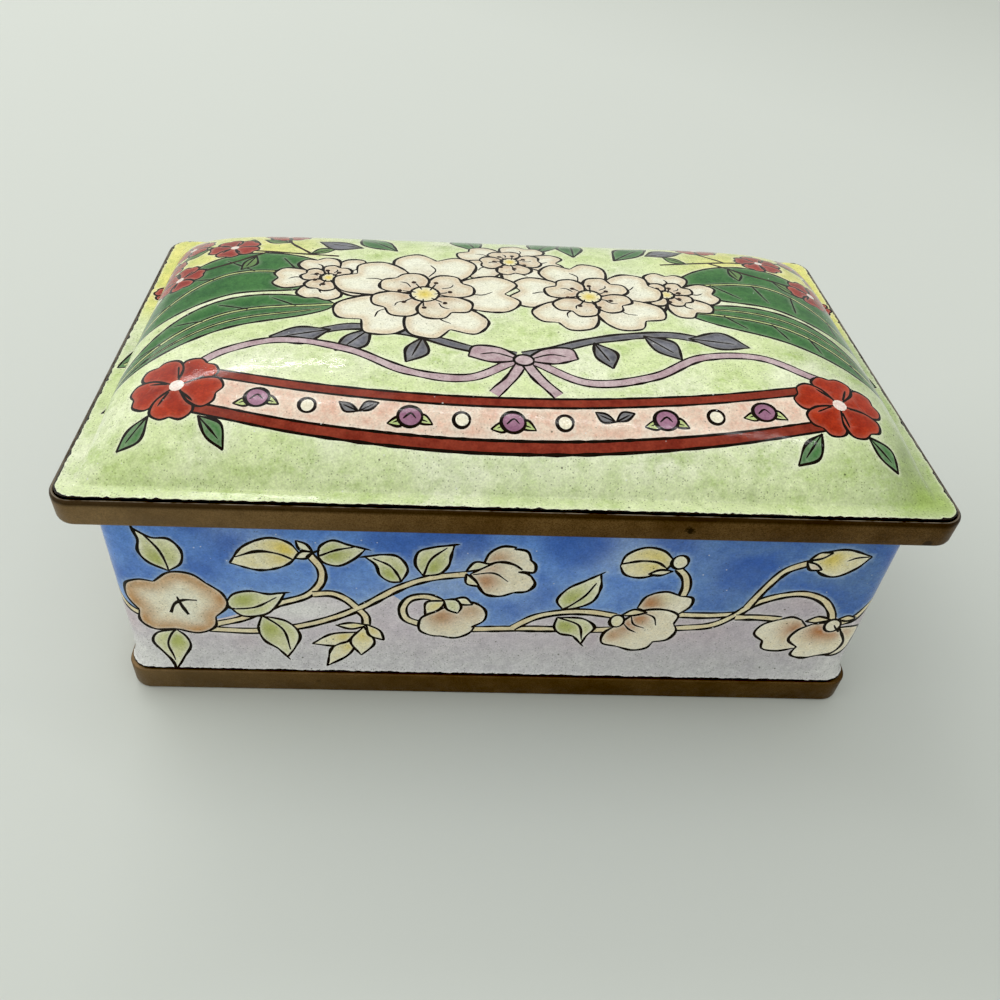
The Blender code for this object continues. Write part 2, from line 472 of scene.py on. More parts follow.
def painted_piece(name, sheet, front, back, spots, keep_edge):
    """A closed piece from a painted sheet: its front, a plain back with coarser points, and the edge between.

    front and back turn sheet points into places and normals; keep_edge says which border edges get a face.
    """
    flat, faces, paint, pooled = sheet
    places, normals = front(flat)
    if triangle_up(places, faces, normals) < 0:
        faces, paint, pooled = faces[:, ::-1], paint[:, ::-1], pooled[:, ::-1]
    rim = border(faces)
    used = np.unique(rim)
    loop_points = flat[used]
    back_points = np.vstack([loop_points, spots])
    number = {old: new for new, old in enumerate(used)}
    loop_edges = [(number[a], number[b]) for a, b in rim]
    out = delaunay_2d_cdt([Vector(p) for p in back_points], loop_edges, [], 0, BACK_TOLERANCE, False)
    behind = np.array([v[:] for v in out[0]])
    back_faces = np.array(out[2])
    back_faces = back_faces[inside(behind[back_faces].mean(1), chained(loop_points, loop_edges))]
    back_places, back_normals = back(behind)
    if triangle_up(back_places, back_faces, back_normals) < 0:
        back_faces = back_faces[:, ::-1]

    first = len(places)
    kept = np.array([edge for edge in rim if keep_edge(flat[edge])])
    a, b = kept[:, 0], kept[:, 1]
    back_a = np.array([number[i] for i in a]) + first
    back_b = np.array([number[i] for i in b]) + first
    strip = np.concatenate([np.stack([b, a, back_a], 1), np.stack([b, back_a, back_b], 1)])
    all_places = np.vstack([places, back_places])
    all_faces = np.vstack([faces, back_faces + first, strip])
    corner_normals = np.concatenate([
        normals[faces],
        back_normals[back_faces],
        np.repeat(unit(turns(all_places, strip))[:, None], 3, axis=1),
    ])
    plain = np.tile(EDGE_ROW, (len(back_faces) + len(strip), 3, 1))
    slots = np.concatenate([np.zeros(len(faces)), np.ones(len(back_faces)), np.zeros(len(strip))])
    return mesh_object(name, all_places, all_faces, corner_normals, slots,
                       np.concatenate([paint, plain]), np.concatenate([pooled, plain]))


EDGE_ROW = np.concatenate([linear(34, 26, 20), [0.3]])


def unit(vectors):
    return vectors / np.maximum(np.linalg.norm(vectors, axis=1), NEVER_ZERO)[:, None]


def turns(places, faces):
    """Vectors square to the triangles, on the side from which they run anticlockwise."""
    corner = places[faces]
    return np.cross(corner[:, 1] - corner[:, 0], corner[:, 2] - corner[:, 0])


def triangle_up(places, faces, normals):
    """Positive where the triangles turn the way their normals point, judged by the first ones."""
    few = faces[:200]
    return (turns(places, few) * normals[few[:, 0]]).sum()


def chained(points, edges):
    """The border's points in order, as one closed outline."""
    after = dict(edges)
    start = here = edges[0][0]
    order = []
    while True:
        order.append(here)
        here = after[here]
        if here == start:
            return points[order]


def linked(name, data):
    """A new object of the scene."""
    made = bpy.data.objects.new(name, data)
    bpy.context.scene.collection.objects.link(made)
    return made


def mesh_object(name, places, faces, corner_normals, slots, paint, pooled):
    """Welds points at one place, drops faces that lose their area, and makes the object with its paint."""
    rounded = np.round(places, WELD_DECIMALS)
    _, first, same = np.unique(rounded, axis=0, return_index=True, return_inverse=True)
    faces = same.reshape(-1)[faces]
    whole = (faces != np.roll(faces, -1, axis=1)).all(1)
    mesh = bpy.data.meshes.new(name)
    mesh.from_pydata((places[first] * MM).tolist(), [], faces[whole].tolist())
    for title, values in (("paint", paint), ("pooled", pooled)):
        layer = mesh.attributes.new(title, "FLOAT_COLOR", "CORNER")
        layer.data.foreach_set("color", values[whole].astype(np.float32).ravel())
    mesh.polygons.foreach_set("material_index", slots[whole].astype(np.int32))
    mesh.shade_smooth()
    mesh.normals_split_custom_set(unit(corner_normals[whole].reshape(-1, 3)).tolist())
    return linked(name, mesh)


# The lid: a rounded sheet on a cushion-shaped dome.

LID_HALF = HALF - SHELL_INSET
LID_RADIUS = BAND_RADIUS - SHELL_INSET
# The face rolls over at its rim by this much, and 0.8 of it down.
RIM_ROLL = 0.22


def rounded_outline(half, radius, corner_steps, spacing):
    """A rounded rectangle, anticlockwise, with points about a spacing apart on its straight sides."""

    def at(corner, share):
        sign = np.array(((1, 1), (-1, 1), (-1, -1), (1, -1))[corner % 4])
        turn = math.pi / 2 * (corner + share)
        return sign * (half - radius) + radius * np.array([math.cos(turn), math.sin(turn)])

    points = []
    for corner in range(4):
        points.extend(at(corner, step / corner_steps) for step in range(corner_steps + 1))
        start, goal = points[-1], at(corner + 1, 0)
        count = int(np.hypot(*(goal - start)) / spacing)
        points.extend(start + (goal - start) * k / count for k in range(1, count))
    return np.array(points)


def from_edge(points, half, radius):
    """Distance from a rounded rectangle's edge, positive inside."""
    over = np.abs(points) - (half - radius)
    outside = np.hypot(*np.maximum(over, 0).T)
    return radius - outside - np.minimum(over.max(1), 0)


def dome_height(points, rolled=True):
    """Height of the lid's face in millimetres at plan points."""
    reach = LID_HALF - FLANGE_WIDTH
    share = np.minimum(np.abs(points) / reach, 1.0)
    x, y = share.T
    cushion = (1 - x**END_FLATNESS) ** END_POWER * (1 - y**SIDE_FLATNESS) ** SIDE_POWER
    foot = np.maximum(reach - np.abs(points), 0)
    cove = foot**2 / (foot**2 + COVE_SOFTNESS**2)
    height = FLANGE_HIGH + DOME_RISE * cushion * cove[:, 0] * cove[:, 1]
    if rolled:
        near = np.clip(1 - from_edge(points, LID_HALF, LID_RADIUS) / RIM_ROLL, 0, 1)
        height = height - RIM_ROLL * 0.8 * (1 - np.sqrt(1 - np.minimum(near, 0.98) ** 2))
    return height


def lid_places(points, rolled=True):
    """Places and normals on the lid's face."""
    slopes = [(dome_height(points + step, rolled) - dome_height(points - step, rolled)) / (2 * LID_STEP)
              for step in LID_STEP * np.eye(2)]
    normals = unit(np.stack([-slopes[0], -slopes[1], np.ones(len(points))], 1))
    return np.column_stack([points, dome_height(points, rolled)]), normals


def lid_backs(points):
    places, normals = lid_places(points, rolled=False)
    return places - normals * SHELL_THICKNESS, -normals


def graded(half, coarse, fine, dense_from):
    """Positions from -half to half, coarse in the middle and fine beyond dense_from."""
    inner = np.linspace(0, dense_from, max(2, int(dense_from / coarse)), endpoint=False)
    outer = np.linspace(dense_from, half, max(2, int((half - dense_from) / fine)), endpoint=False)
    right = np.concatenate([inner, outer])
    return np.concatenate([-right[:0:-1], right])


def lid_grid(coarse, fine):
    x, y = (graded(half, coarse, fine, half - shoulder) for half, shoulder in zip(LID_HALF, (9, 8)))
    return crossed(x, y)


# The walls: a long sheet wrapped round the four sides, with its seam at the middle of the back.

WALL_FLAT = HALF - WALL_LOW_INSET - WALL_RADIUS
CORNER_RUN = WALL_RADIUS * math.pi / 2
WALL_RUN = 4 * WALL_FLAT.sum() + 4 * CORNER_RUN
RIGHT_SIDE = WALL_FLAT[0] + CORNER_RUN + WALL_FLAT[1]
BACK_CORNER = WALL_RUN / 2 - WALL_FLAT[0]


def wall_inset(height):
    """How far the walls' outer face stands back from the lid's edge: a flare over the foot, then a taper."""
    flare = np.clip(1 - (height - WALL_LOW) / COVE_HEIGHT, 0, 1)
    taper = np.clip((height - WALL_LOW) / (WALL_HIGH - WALL_LOW), 0, 1)
    straight = WALL_LOW_INSET + (WALL_TOP_INSET - WALL_LOW_INSET) * taper
    return straight - (WALL_LOW_INSET - COVE_INSET) * (1 - np.sqrt(1 - np.minimum(flare, 0.995) ** 2))


def wall_places(points, depth=0.0):
    """Places and normals on the walls' outer face, or at a depth behind it."""
    run = np.abs(points[:, 0])
    sign = np.where(points[:, 0] < 0, -1.0, 1.0)
    height = points[:, 1]
    inset = wall_inset(height) + depth
    radius = WALL_RADIUS - depth * 0.6
    # How far a point is along each stretch from the middle of the front to the middle of the back.
    shares = []
    start = 0.0
    for length in (WALL_FLAT[0], CORNER_RUN, 2 * WALL_FLAT[1], CORNER_RUN, WALL_FLAT[0]):
        shares.append(np.clip((run - start) / length, 0, 1))
        start += length
    front, front_corner, side, back_corner, back = shares
    turn = front_corner * math.pi / 2 + back_corner * math.pi / 2
    normal_x, normal_y = np.sin(turn), -np.cos(turn)
    x = ((HALF_X - inset - radius) * (front - back) + radius * normal_x) * sign
    y = (HALF_Y - inset - radius) * (2 * side - 1) + radius * normal_y
    lean = (wall_inset(height + WALL_STEP) - wall_inset(height - WALL_STEP)) / (2 * WALL_STEP)
    return np.column_stack([x, y, height]), unit(np.stack([normal_x * sign, normal_y, lean], 1))


def wall_backs(points):
    places, normals = wall_places(points, WALL_THICKNESS)
    return places, -normals


def wall_domain():
    """The sheet's outline, with the same heights at both ends so that the seam closes."""
    spacing = 1.2
    x = np.linspace(-WALL_RUN / 2, WALL_RUN / 2, int(WALL_RUN / spacing) + 1)
    z = np.linspace(WALL_LOW, WALL_HIGH, int((WALL_HIGH - WALL_LOW) / spacing) + 1)
    ends = ((x, WALL_LOW), (x[-1], z[1:-1]), (x[::-1], WALL_HIGH), (x[0], z[-2:0:-1]))
    return np.vstack([np.column_stack(np.broadcast_arrays(*end)) for end in ends])


def wall_grid(step):
    x = np.linspace(-WALL_RUN / 2, WALL_RUN / 2, int(WALL_RUN / step) + 1)[1:-1]
    low = WALL_LOW + COVE_HEIGHT * np.array([0.06, 0.14, 0.24, 0.36, 0.5, 0.66, 0.82])
    high = np.arange(WALL_LOW + COVE_HEIGHT, WALL_HIGH - step / 2, step)
    return crossed(x, np.concatenate([low, high]))


# The walls' picture.

SKY_CLOUD, DEEP_CLOUD, STREAK_CLOUD, EARTH_CLOUD = (Cloud(size, 3) for size in (26.0, 11.0, 5.0, 9.0))
# Where the shade at the right of the front fades out again, round on the right end.
FADE_OUT = (66, 96)


def around(points):
    """The walls' points bent into a ring, so that the clouds meet at the seam."""
    turn = points[:, 0] * 2 * math.pi / WALL_RUN
    reach = WALL_RUN / (2 * math.pi)
    return np.column_stack([reach * np.cos(turn), reach * np.sin(turn), points[:, 1]])


def sky(points, halo):
    """Blue, deeper towards the top and in patches, paler above the horizon, with painted shade towards the
    right of the front.
    """
    ring = around(points)
    x, z = points.T
    height = ramp(z, 15, 38)
    patch = ramp(DEEP_CLOUD(ring), 0.4, 0.85) * (0.3 + 0.7 * height)
    # Painted shade: darker towards the right of the front, fading out round the right end.
    right = ramp(x, 14, 40) * (1 - ramp(x, *FADE_OUT))
    colour = layered(
        linear(140, 176, 230),
        ((108, 152, 224), height),
        ((166, 190, 226), ramp(SKY_CLOUD(ring), 0.45, 0.95) * 0.7),
        ((96, 128, 176), right * (0.7 + 0.25 * ramp(x, 44, 54))),
        ((56, 96, 180), patch * 0.72),
        ((176, 200, 226), halo * 0.5),
    )
    pooled = layered(colour, ((52, 96, 190), 0.55 * (1 - halo)))
    return paint_rows(colour, 0.55 + 0.4 * STREAK_CLOUD(ring), pooled, 0.12)


class Earth:
    """The mauve-grey below the vine, whiter in the vine's first loop, with a painted reflection whitening the
    front corners and painted shade towards the right of the front.
    """

    rim, stains = None, ()

    def at(self, points, outline, halo):
        x, z = points.T
        cloud = EARTH_CLOUD(around(points))
        low = 1 - ramp(z, 6, 17)
        # Painted reflection: whiter low down at the front corners.
        corner = ramp(np.abs(x), 50, 57) * (1 - ramp(np.abs(x), 63, 70)) * low
        loop = np.exp(-(((x + 31) / 8) ** 2) - ((z - 19.6) / 3) ** 2)
        colour = layered(
            linear(223, 213, 219),
            ((225, 223, 223), low),
            ((223, 203, 206), ramp(cloud, 0.45, 0.95) * 0.6 * (1 - low)),
            ((246, 245, 240), np.maximum.reduce([corner * 0.7, loop * 0.8, halo * 0.35])),
        )
        # Painted shade: darker towards the right of the front, fading out round the right end.
        colour = colour * (1 - 0.14 * ramp(x, -10, 40) * (1 - ramp(x, *FADE_OUT)))[:, None]
        pooled = layered(colour, ((172, 163, 176), 0.55 * (1 - np.maximum(halo, loop))))
        return paint_rows(colour, 0.5 + 0.3 * cloud, pooled, 0.6 + 0.4 * low)


# The vine's line on the front, which is also the line where the sky meets the ground.
FRONT_HORIZON = (
    (-62.0, 23.0), (-59.4, 20.8), (-56.2, 18.1), (-45.0, 17.0), (-41.0, 18.4), (-37.0, 20.2), (-34.5, 21.4),
    (-30.0, 23.3), (-26.0, 23.7), (-22.6, 21.2), (-19.6, 22.6), (-17.2, 24.1), (-15.3, 22.3), (-13.9, 22.8),
    (-11.2, 23.3), (-8.4, 22.0), (-3.5, 16.4), (2.7, 16.6), (5.8, 19.4), (10.0, 20.8), (18.0, 20.4),
    (29.0, 20.7), (36.5, 20.7), (39.9, 23.8), (43.6, 25.8), (47.0, 26.4), (50.3, 25.1), (53.0, 21.5),
    (55.0, 20.2), (57.9, 23.1), (62.0, 24.5),
)
FRONT_STEMS = (
    ((-62.4, 24.6), (-60.8, 22.6), (-58.8, 20.0), (-56.0, 18.2), (-54.0, 18.0)),
    ((-46.0, 14.6), (-38.4, 14.4), (-31.7, 15.7), (-26.2, 17.9), (-21.7, 20.6), (-15.5, 25.4), (-11.0, 27.6),
     (-5.4, 28.7)),
    ((-44.6, 15.9), (-40.5, 17.3), (-37.0, 19.4), (-34.5, 21.0), (-29.9, 23.1), (-27.6, 26.1), (-27.4, 29.0),
     (-28.9, 32.0)),
    ((-29.0, 23.4), (-26.0, 23.6), (-23.9, 22.4), (-22.4, 20.6)),
    ((-21.9, 19.9), (-21.0, 18.4), (-20.9, 16.4)),
    ((-8.6, 21.9), (-11.2, 23.4), (-13.9, 22.9), (-15.1, 20.7), (-14.6, 18.2), (-12.4, 16.9)),
    ((-4.4, 15.9), (2.7, 16.3), (9.2, 16.4), (15.6, 16.4), (18.2, 16.6)),
    ((2.4, 16.5), (5.8, 19.2), (10.0, 20.5), (14.0, 20.7), (18.6, 19.9)),
    ((26.2, 31.0), (27.7, 29.2), (28.3, 27.0), (28.1, 24.4)),
    ((28.6, 20.5), (33.0, 20.5), (37.6, 20.9)),
    ((28.2, 17.2), (34.2, 18.2), (37.1, 20.4), (39.9, 23.6), (43.6, 25.5), (47.0, 26.0), (50.3, 24.7),
     (52.6, 21.8), (53.3, 19.4)),
    ((38.8, 22.6), (40.8, 27.8), (42.7, 31.1), (46.0, 33.0)),
    ((37.6, 20.2), (41.0, 20.3), (45.0, 20.0)),
    ((54.6, 19.4), (56.6, 20.6), (58.4, 23.0), (61.0, 25.0)),
)
# Each leaf: where it springs from, its left side, its tip, its right side and its vein.
FRONT_LEAVES = (
    ((-50.2, 27.9), ((-53.0, 29.8), (-54.0, 32.0), (-53.6, 34.4)), (-54.0, 36.6),
     ((-51.6, 34.8), (-49.2, 34.6), (-47.7, 32.2), (-48.2, 29.5)),
     ((-52.6, 35.4), (-50.9, 32.2), (-50.2, 28.6))),
    ((-51.2, 14.3), ((-54.4, 13.4), (-55.4, 11.4), (-54.2, 8.6)), (-51.9, 4.9),
     ((-50.9, 7.4), (-49.5, 10.4), (-50.0, 12.8)), ((-51.9, 13.6), (-53.1, 10.6), (-52.4, 6.6))),
    ((-42.6, 20.9), ((-41.2, 23.0), (-38.6, 23.8), (-35.8, 23.2)), (-33.2, 23.6),
     ((-34.6, 20.8), (-36.6, 18.5), (-40.3, 18.0)), ((-42.4, 19.9), (-38.4, 20.0), (-34.6, 22.5))),
    ((-27.7, 31.8), ((-27.3, 33.8), (-25.4, 35.1), (-23.2, 34.3)), (-20.6, 33.5),
     ((-22.3, 31.4), (-24.8, 29.8), (-27.0, 30.5)), ((-27.4, 31.9), (-25.0, 33.1), (-22.0, 33.9))),
    ((-37.3, 18.1), ((-38.1, 15.0), (-37.4, 12.0), (-35.4, 10.0)), (-34.0, 7.9),
     ((-32.6, 10.4), (-31.6, 13.6), (-33.4, 16.8)), ((-36.6, 17.6), (-34.2, 14.8), (-33.4, 9.8))),
    ((-15.4, 26.6), ((-14.4, 29.4), (-15.9, 32.1), (-18.4, 32.4)), (-20.8, 31.9),
     ((-19.2, 30.2), (-18.6, 28.0), (-17.0, 26.6)), ((-15.6, 27.4), (-17.0, 30.0), (-19.6, 31.6))),
    ((-12.1, 28.1), ((-13.3, 30.6), (-12.8, 33.2), (-10.6, 34.2)), (-7.6, 34.8),
     ((-8.0, 32.4), (-8.3, 30.4), (-9.6, 28.6)), ((-11.9, 28.6), (-11.0, 31.6), (-8.6, 34.2))),
    ((9.9, 21.2), ((8.8, 23.2), (10.2, 26.0), (12.6, 27.8)), (14.8, 29.4),
     ((15.2, 26.4), (14.4, 23.2), (12.0, 21.6)), ((10.6, 21.7), (13.0, 24.4), (14.4, 27.4))),
    ((9.3, 19.3), ((9.1, 16.8), (10.2, 15.3), (12.4, 14.7)), (13.9, 12.8),
     ((14.6, 15.0), (15.6, 17.0), (13.6, 19.0)), ((10.0, 19.0), (13.0, 17.4), (13.9, 13.8))),
)


def front_buds(picture):
    """The three closed blossoms and the cluster of buds below the first branch."""
    yellow_bud = BUD.stained((-32.4, 33.2, 2.4, YELLOW, 0.85), (-32.8, 30.8, 1.5, YELLOW, 0.35))
    picture.shape([
        [(-40.9, 29.9), (-38.6, 33.4), (-34.6, 35.3), (-31.8, 34.4), (-30.4, 32.3)],
        [(-30.4, 32.3), (-32.4, 29.8), (-36.4, 28.5), (-40.9, 29.9)],
    ], yellow_bud)
    picture.line(((-40.0, 31.2), (-36.4, 32.5), (-33.4, 32.0), (-31.4, 30.9)), INK_WIDTH * 1.1)
    picture.petal((-28.4, 32.6), (-31.2, 31.2), 1.5, BUD)
    picture.petal((-28.4, 32.6), (-30.8, 34.9), 1.5, LEAF, 0.2)
    picture.line(((-29.5, 31.5), (-28.3, 32.5), (-27.3, 33.1)), INK_WIDTH * 1.2, (0.4, 0.4))

    for base, tip, width, bend in (
        ((-22.2, 14.6), (-29.8, 11.4), 3.0, 0.4), ((-22.0, 13.0), (-27.5, 6.0), 3.1, -0.5),
        ((-21.3, 16.0), (-21.9, 8.7), 3.9, 0.0), ((-20.9, 16.6), (-18.1, 12.7), 2.1, -0.2),
        ((-20.6, 16.4), (-25.8, 16.2), 1.5, 0.2),
    ):
        near = np.array(base) * 0.7 + np.array(tip) * 0.3
        picture.petal(base, tip, width, BUD.stained((*near, 1.4, YELLOW, 0.6)), bend)

    picture.shape([
        [(17.4, 31.2), (18.0, 33.6), (20.6, 35.2), (23.4, 34.6), (25.3, 32.6)],
        [(25.3, 32.6), (24.2, 30.4), (21.0, 28.8), (18.4, 29.4), (17.4, 31.2)],
    ], BUD.stained((22.4, 33.4, 3.0, YELLOW, 0.6), (23.4, 30.8, 1.6, YELLOW, 0.6)))
    picture.line(((17.6, 31.7), (20.6, 32.4), (23.0, 32.1), (24.4, 31.0)), INK_WIDTH, (0.8, 0.5))
    picture.petal((25.6, 30.4), (21.9, 29.6), 1.2, BUD)
    picture.round((26.2, 32.3), 1.25, BUD, 1.15)

    picture.shape([
        [(45.8, 33.3), (47.4, 35.0), (50.4, 35.8), (54.6, 34.5)],
        [(54.6, 34.5), (53.0, 31.8), (50.4, 30.0), (48.0, 30.6), (45.8, 33.3)],
    ], BUD.stained((48.6, 33.9, 2.2, YELLOW, 0.85)))
    picture.line(((51.2, 33.4), (52.4, 34.1), (54.2, 34.4)), INK_WIDTH * 0.7, (0.4, 0.8))
    picture.petal((45.4, 33.3), (48.6, 35.1), 1.3, STEM, 0.2)
    picture.petal((45.2, 33.1), (48.0, 31.4), 1.4, CREAM.stained((47.0, 32.0, 1.2, PEACH, 0.4)), -0.3)


def front_blossoms(picture):
    """The open blossoms of the front, each as its petals with their brush lines."""
    heart = CREAM_BROWN.stained((-49.8, 20.6, 4.2, (250, 248, 226), 1.0))
    picture.shape([
        [(-52.9, 25.5), (-50.2, 27.6), (-47.0, 27.3), (-44.7, 25.0)],
        [(-44.9, 25.3), (-42.8, 23.0), (-42.4, 20.2), (-44.5, 17.6)],
        [(-44.5, 17.6), (-44.9, 15.2), (-47.7, 13.6), (-51.2, 14.5)],
        [(-51.2, 14.5), (-54.6, 14.4), (-56.5, 16.4), (-56.2, 19.0)],
        [(-56.2, 19.0), (-57.8, 22.0), (-57.2, 25.0), (-55.2, 25.9), (-52.9, 25.5)],
    ], heart)
    picture.line(((-49.9, 22.2), (-49.5, 20.3), (-48.7, 18.0)), INK_WIDTH * 1.1, (0.5, 1.1))
    picture.line(((-51.4, 18.4), (-50.4, 20.6), (-49.0, 21.4), (-46.9, 21.4)), INK_WIDTH * 1.1, (1.0, 0.5))

    first = CREAM.stained((-0.9, 32.0, 1.9, PEACH, 0.7))
    picture.shape([
        [(-3.0, 31.2), (-2.3, 33.3), (-0.5, 34.7), (1.6, 34.6)],
        [(1.2, 34.3), (3.2, 33.8), (4.0, 31.9)],
        [(3.7, 32.2), (4.7, 31.0), (4.6, 29.4), (2.4, 29.6)],
        [(2.4, 29.6), (0.0, 30.4), (-3.0, 31.2)],
    ], first, INK_WIDTH * 1.1)
    second = CREAM.stained((-2.6, 27.2, 2.2, PEACH, 0.85), (-1.8, 30.2, 1.6, PEACH, 0.45))
    picture.shape([
        [(-5.0, 28.7), (-3.7, 26.2), (-2.4, 24.3), (-0.2, 23.9), (1.9, 24.8)],
        [(1.9, 24.8), (4.0, 25.2), (5.0, 26.8), (4.2, 28.7)],
        [(4.4, 28.4), (3.4, 29.2), (2.2, 29.4)],
        [(2.8, 29.9), (1.4, 31.0), (-1.0, 31.4), (-5.0, 28.7)],
    ], second, INK_WIDTH * 1.15)
    picture.line(((-4.6, 28.6), (-1.4, 29.0), (0.9, 27.2)), INK_WIDTH * 0.7)
    picture.petal((-5.7, 29.2), (-2.0, 30.9), 1.7, LEAF.stained((-3.8, 30.3, 1.4, (232, 228, 190), 0.8)), 0.5)
    picture.petal((-5.6, 28.8), (-3.4, 26.0), 1.5, BUD, -0.5)

    body = CREAM.stained((-9.0, 19.0, 2.6, PEACH, 0.8), (-4.6, 20.4, 2.2, PEACH, 0.55))
    picture.shape([
        [(-9.8, 20.0), (-12.2, 18.4), (-12.4, 15.4), (-10.6, 14.2), (-9.2, 14.0)],
        [(-9.4, 14.1), (-6.6, 13.7), (-4.4, 15.0), (-3.6, 16.8)],
        [(-4.2, 16.4), (-2.2, 18.2), (-2.2, 20.6), (-4.4, 22.4), (-7.4, 21.8), (-9.8, 20.0)],
    ], body)
    picture.petal((-8.4, 22.6), (-11.6, 19.2), 2.6, BUD.stained((-9.6, 21.0, 1.2, YELLOW, 0.6)), -0.6)
    picture.petal((-7.6, 22.9), (-4.2, 21.8), 1.7, BUD, 0.3)
    picture.shape([
        [(-8.8, 22.8), (-6.9, 22.9), (-6.0, 21.2), (-6.5, 19.7)],
        [(-6.5, 19.7), (-8.2, 20.6), (-8.8, 22.8)],
    ], LEAF)

    upper = CREAM.stained((23.6, 23.2, 2.2, PEACH, 0.95), (26.0, 24.6, 1.6, (226, 222, 176), 0.5))
    picture.shape([
        [(21.6, 21.9), (22.6, 24.6), (25.4, 25.8), (27.9, 24.9)],
        [(27.6, 24.9), (29.8, 24.5), (29.9, 22.6), (27.9, 20.2)],
        [(27.9, 20.2), (25.0, 20.4), (21.6, 21.9)],
    ], upper)
    lower = CREAM.stained((20.8, 17.6, 1.8, PEACH, 0.9), (22.4, 19.6, 1.9, PEACH, 0.9),
                          (18.8, 15.2, 1.6, PEACH, 0.7))
    picture.shape([
        [(18.8, 17.5), (17.2, 15.6), (17.3, 13.2), (19.8, 12.4)],
        [(19.8, 12.4), (22.6, 11.5), (24.8, 12.2), (25.6, 13.8)],
        [(25.4, 13.7), (27.8, 14.4), (28.8, 16.6), (28.1, 18.3)],
        [(28.1, 18.3), (28.4, 20.4), (26.2, 21.6), (22.4, 21.2), (18.8, 17.5)],
    ], lower, INK_WIDTH * 1.05)
    for vein in (((20.1, 18.1), (21.1, 16.8), (22.4, 16.0)), ((21.0, 20.0), (21.7, 18.0), (23.6, 17.1)),
                 ((22.6, 20.8), (24.6, 19.8), (25.3, 17.8))):
        picture.line(vein, INK_WIDTH * 0.65)
    picture.petal((19.3, 20.0), (23.4, 20.9), 1.4, STEM, 0.4)
    picture.round((18.9, 18.7), 1.15, BUD, 1.25)

    left = CREAM.stained((48.2, 17.6, 2.6, PEACH, 0.9))
    picture.shape([
        [(48.4, 19.9), (46.6, 20.6), (44.4, 19.7)],
        [(44.6, 19.9), (42.4, 18.6), (41.6, 16.4), (43.6, 14.4)],
        [(43.4, 14.7), (43.8, 12.7), (46.4, 12.1), (49.4, 13.0)],
        [(49.4, 13.0), (50.4, 16.8), (48.4, 19.9)],
    ], left)
    right = CREAM.stained((56.0, 17.0, 1.6, PEACH, 0.6))
    picture.shape([
        [(54.6, 18.2), (56.6, 18.6), (58.6, 18.0), (58.8, 15.8)],
        [(58.8, 15.8), (57.9, 12.6), (55.6, 11.2), (53.6, 11.6)],
        [(53.6, 11.6), (55.0, 14.4), (54.6, 18.2)],
    ], right)
    middle = CREAM.stained((52.2, 17.4, 2.6, PEACH, 1.0), (54.4, 16.4, 1.4, PEACH, 0.6))
    picture.shape([
        [(50.4, 19.0), (48.4, 17.4), (47.6, 15.0), (49.6, 13.1)],
        [(49.4, 13.3), (49.0, 11.2), (51.2, 10.4), (53.4, 11.1)],
        [(53.4, 11.1), (55.6, 11.8), (56.8, 14.4), (55.4, 17.6)],
        [(55.4, 17.6), (53.4, 19.4), (50.4, 19.0)],
    ], middle, INK_WIDTH * 1.1)
    picture.petal((53.0, 20.2), (49.0, 19.6), 1.5, STEM, -0.2)
    picture.petal((54.0, 20.2), (57.0, 20.7), 1.3, STEM, 0.1)
    picture.round((53.7, 18.7), 1.25, CREAM, 1.2)
    picture.line(((53.9, 18.9), (54.5, 18.0), (55.2, 17.2)), INK_WIDTH * 0.7, (0.4, 0.9))


def heading(angle):
    """Unit vectors ahead and to the left, for a direction in degrees."""
    turn = math.radians(angle)
    ahead = np.array([math.cos(turn), math.sin(turn)])
    return ahead, np.array([-ahead[1], ahead[0]])


def spray_leaf(picture, base, angle, length):
    """A leaf of the vine in any direction."""
    ahead, square = heading(angle)
    base = np.array(base, float)

    def at(share, swing):
        return tuple(base + ahead * length * share + square * length * 0.42 * swing)

    left = (at(0.2, 0.75), at(0.52, 0.95), at(0.82, 0.4))
    right = (at(0.8, -0.35), at(0.46, -0.85), at(0.16, -0.55))
    picture.leaf(at(0, 0), left, at(1.08, 0.12), right, (at(0.06, -0.05), at(0.5, 0.22), at(0.92, 0.16)))


def spray_bud(picture, base, angle, length):
    """A closed blossom on two sepals."""
    ahead, square = heading(angle)
    base = np.array(base, float)
    tip = base + ahead * length
    near = base + ahead * length * 0.3
    picture.petal(base, tip, length * 0.62, BUD.stained((*near, length * 0.3, YELLOW, 0.8)), 0.3)
    picture.line((base + square * 0.1, base + ahead * length * 0.5 + square * 0.5, tip), INK_WIDTH * 0.8)
    for way in (1, -1):
        sepal = base + ahead * length * 0.34 + square * 1.5 * way
        picture.petal(base - ahead * 0.6, sepal, 1.3, STEM, 0.2 * way)


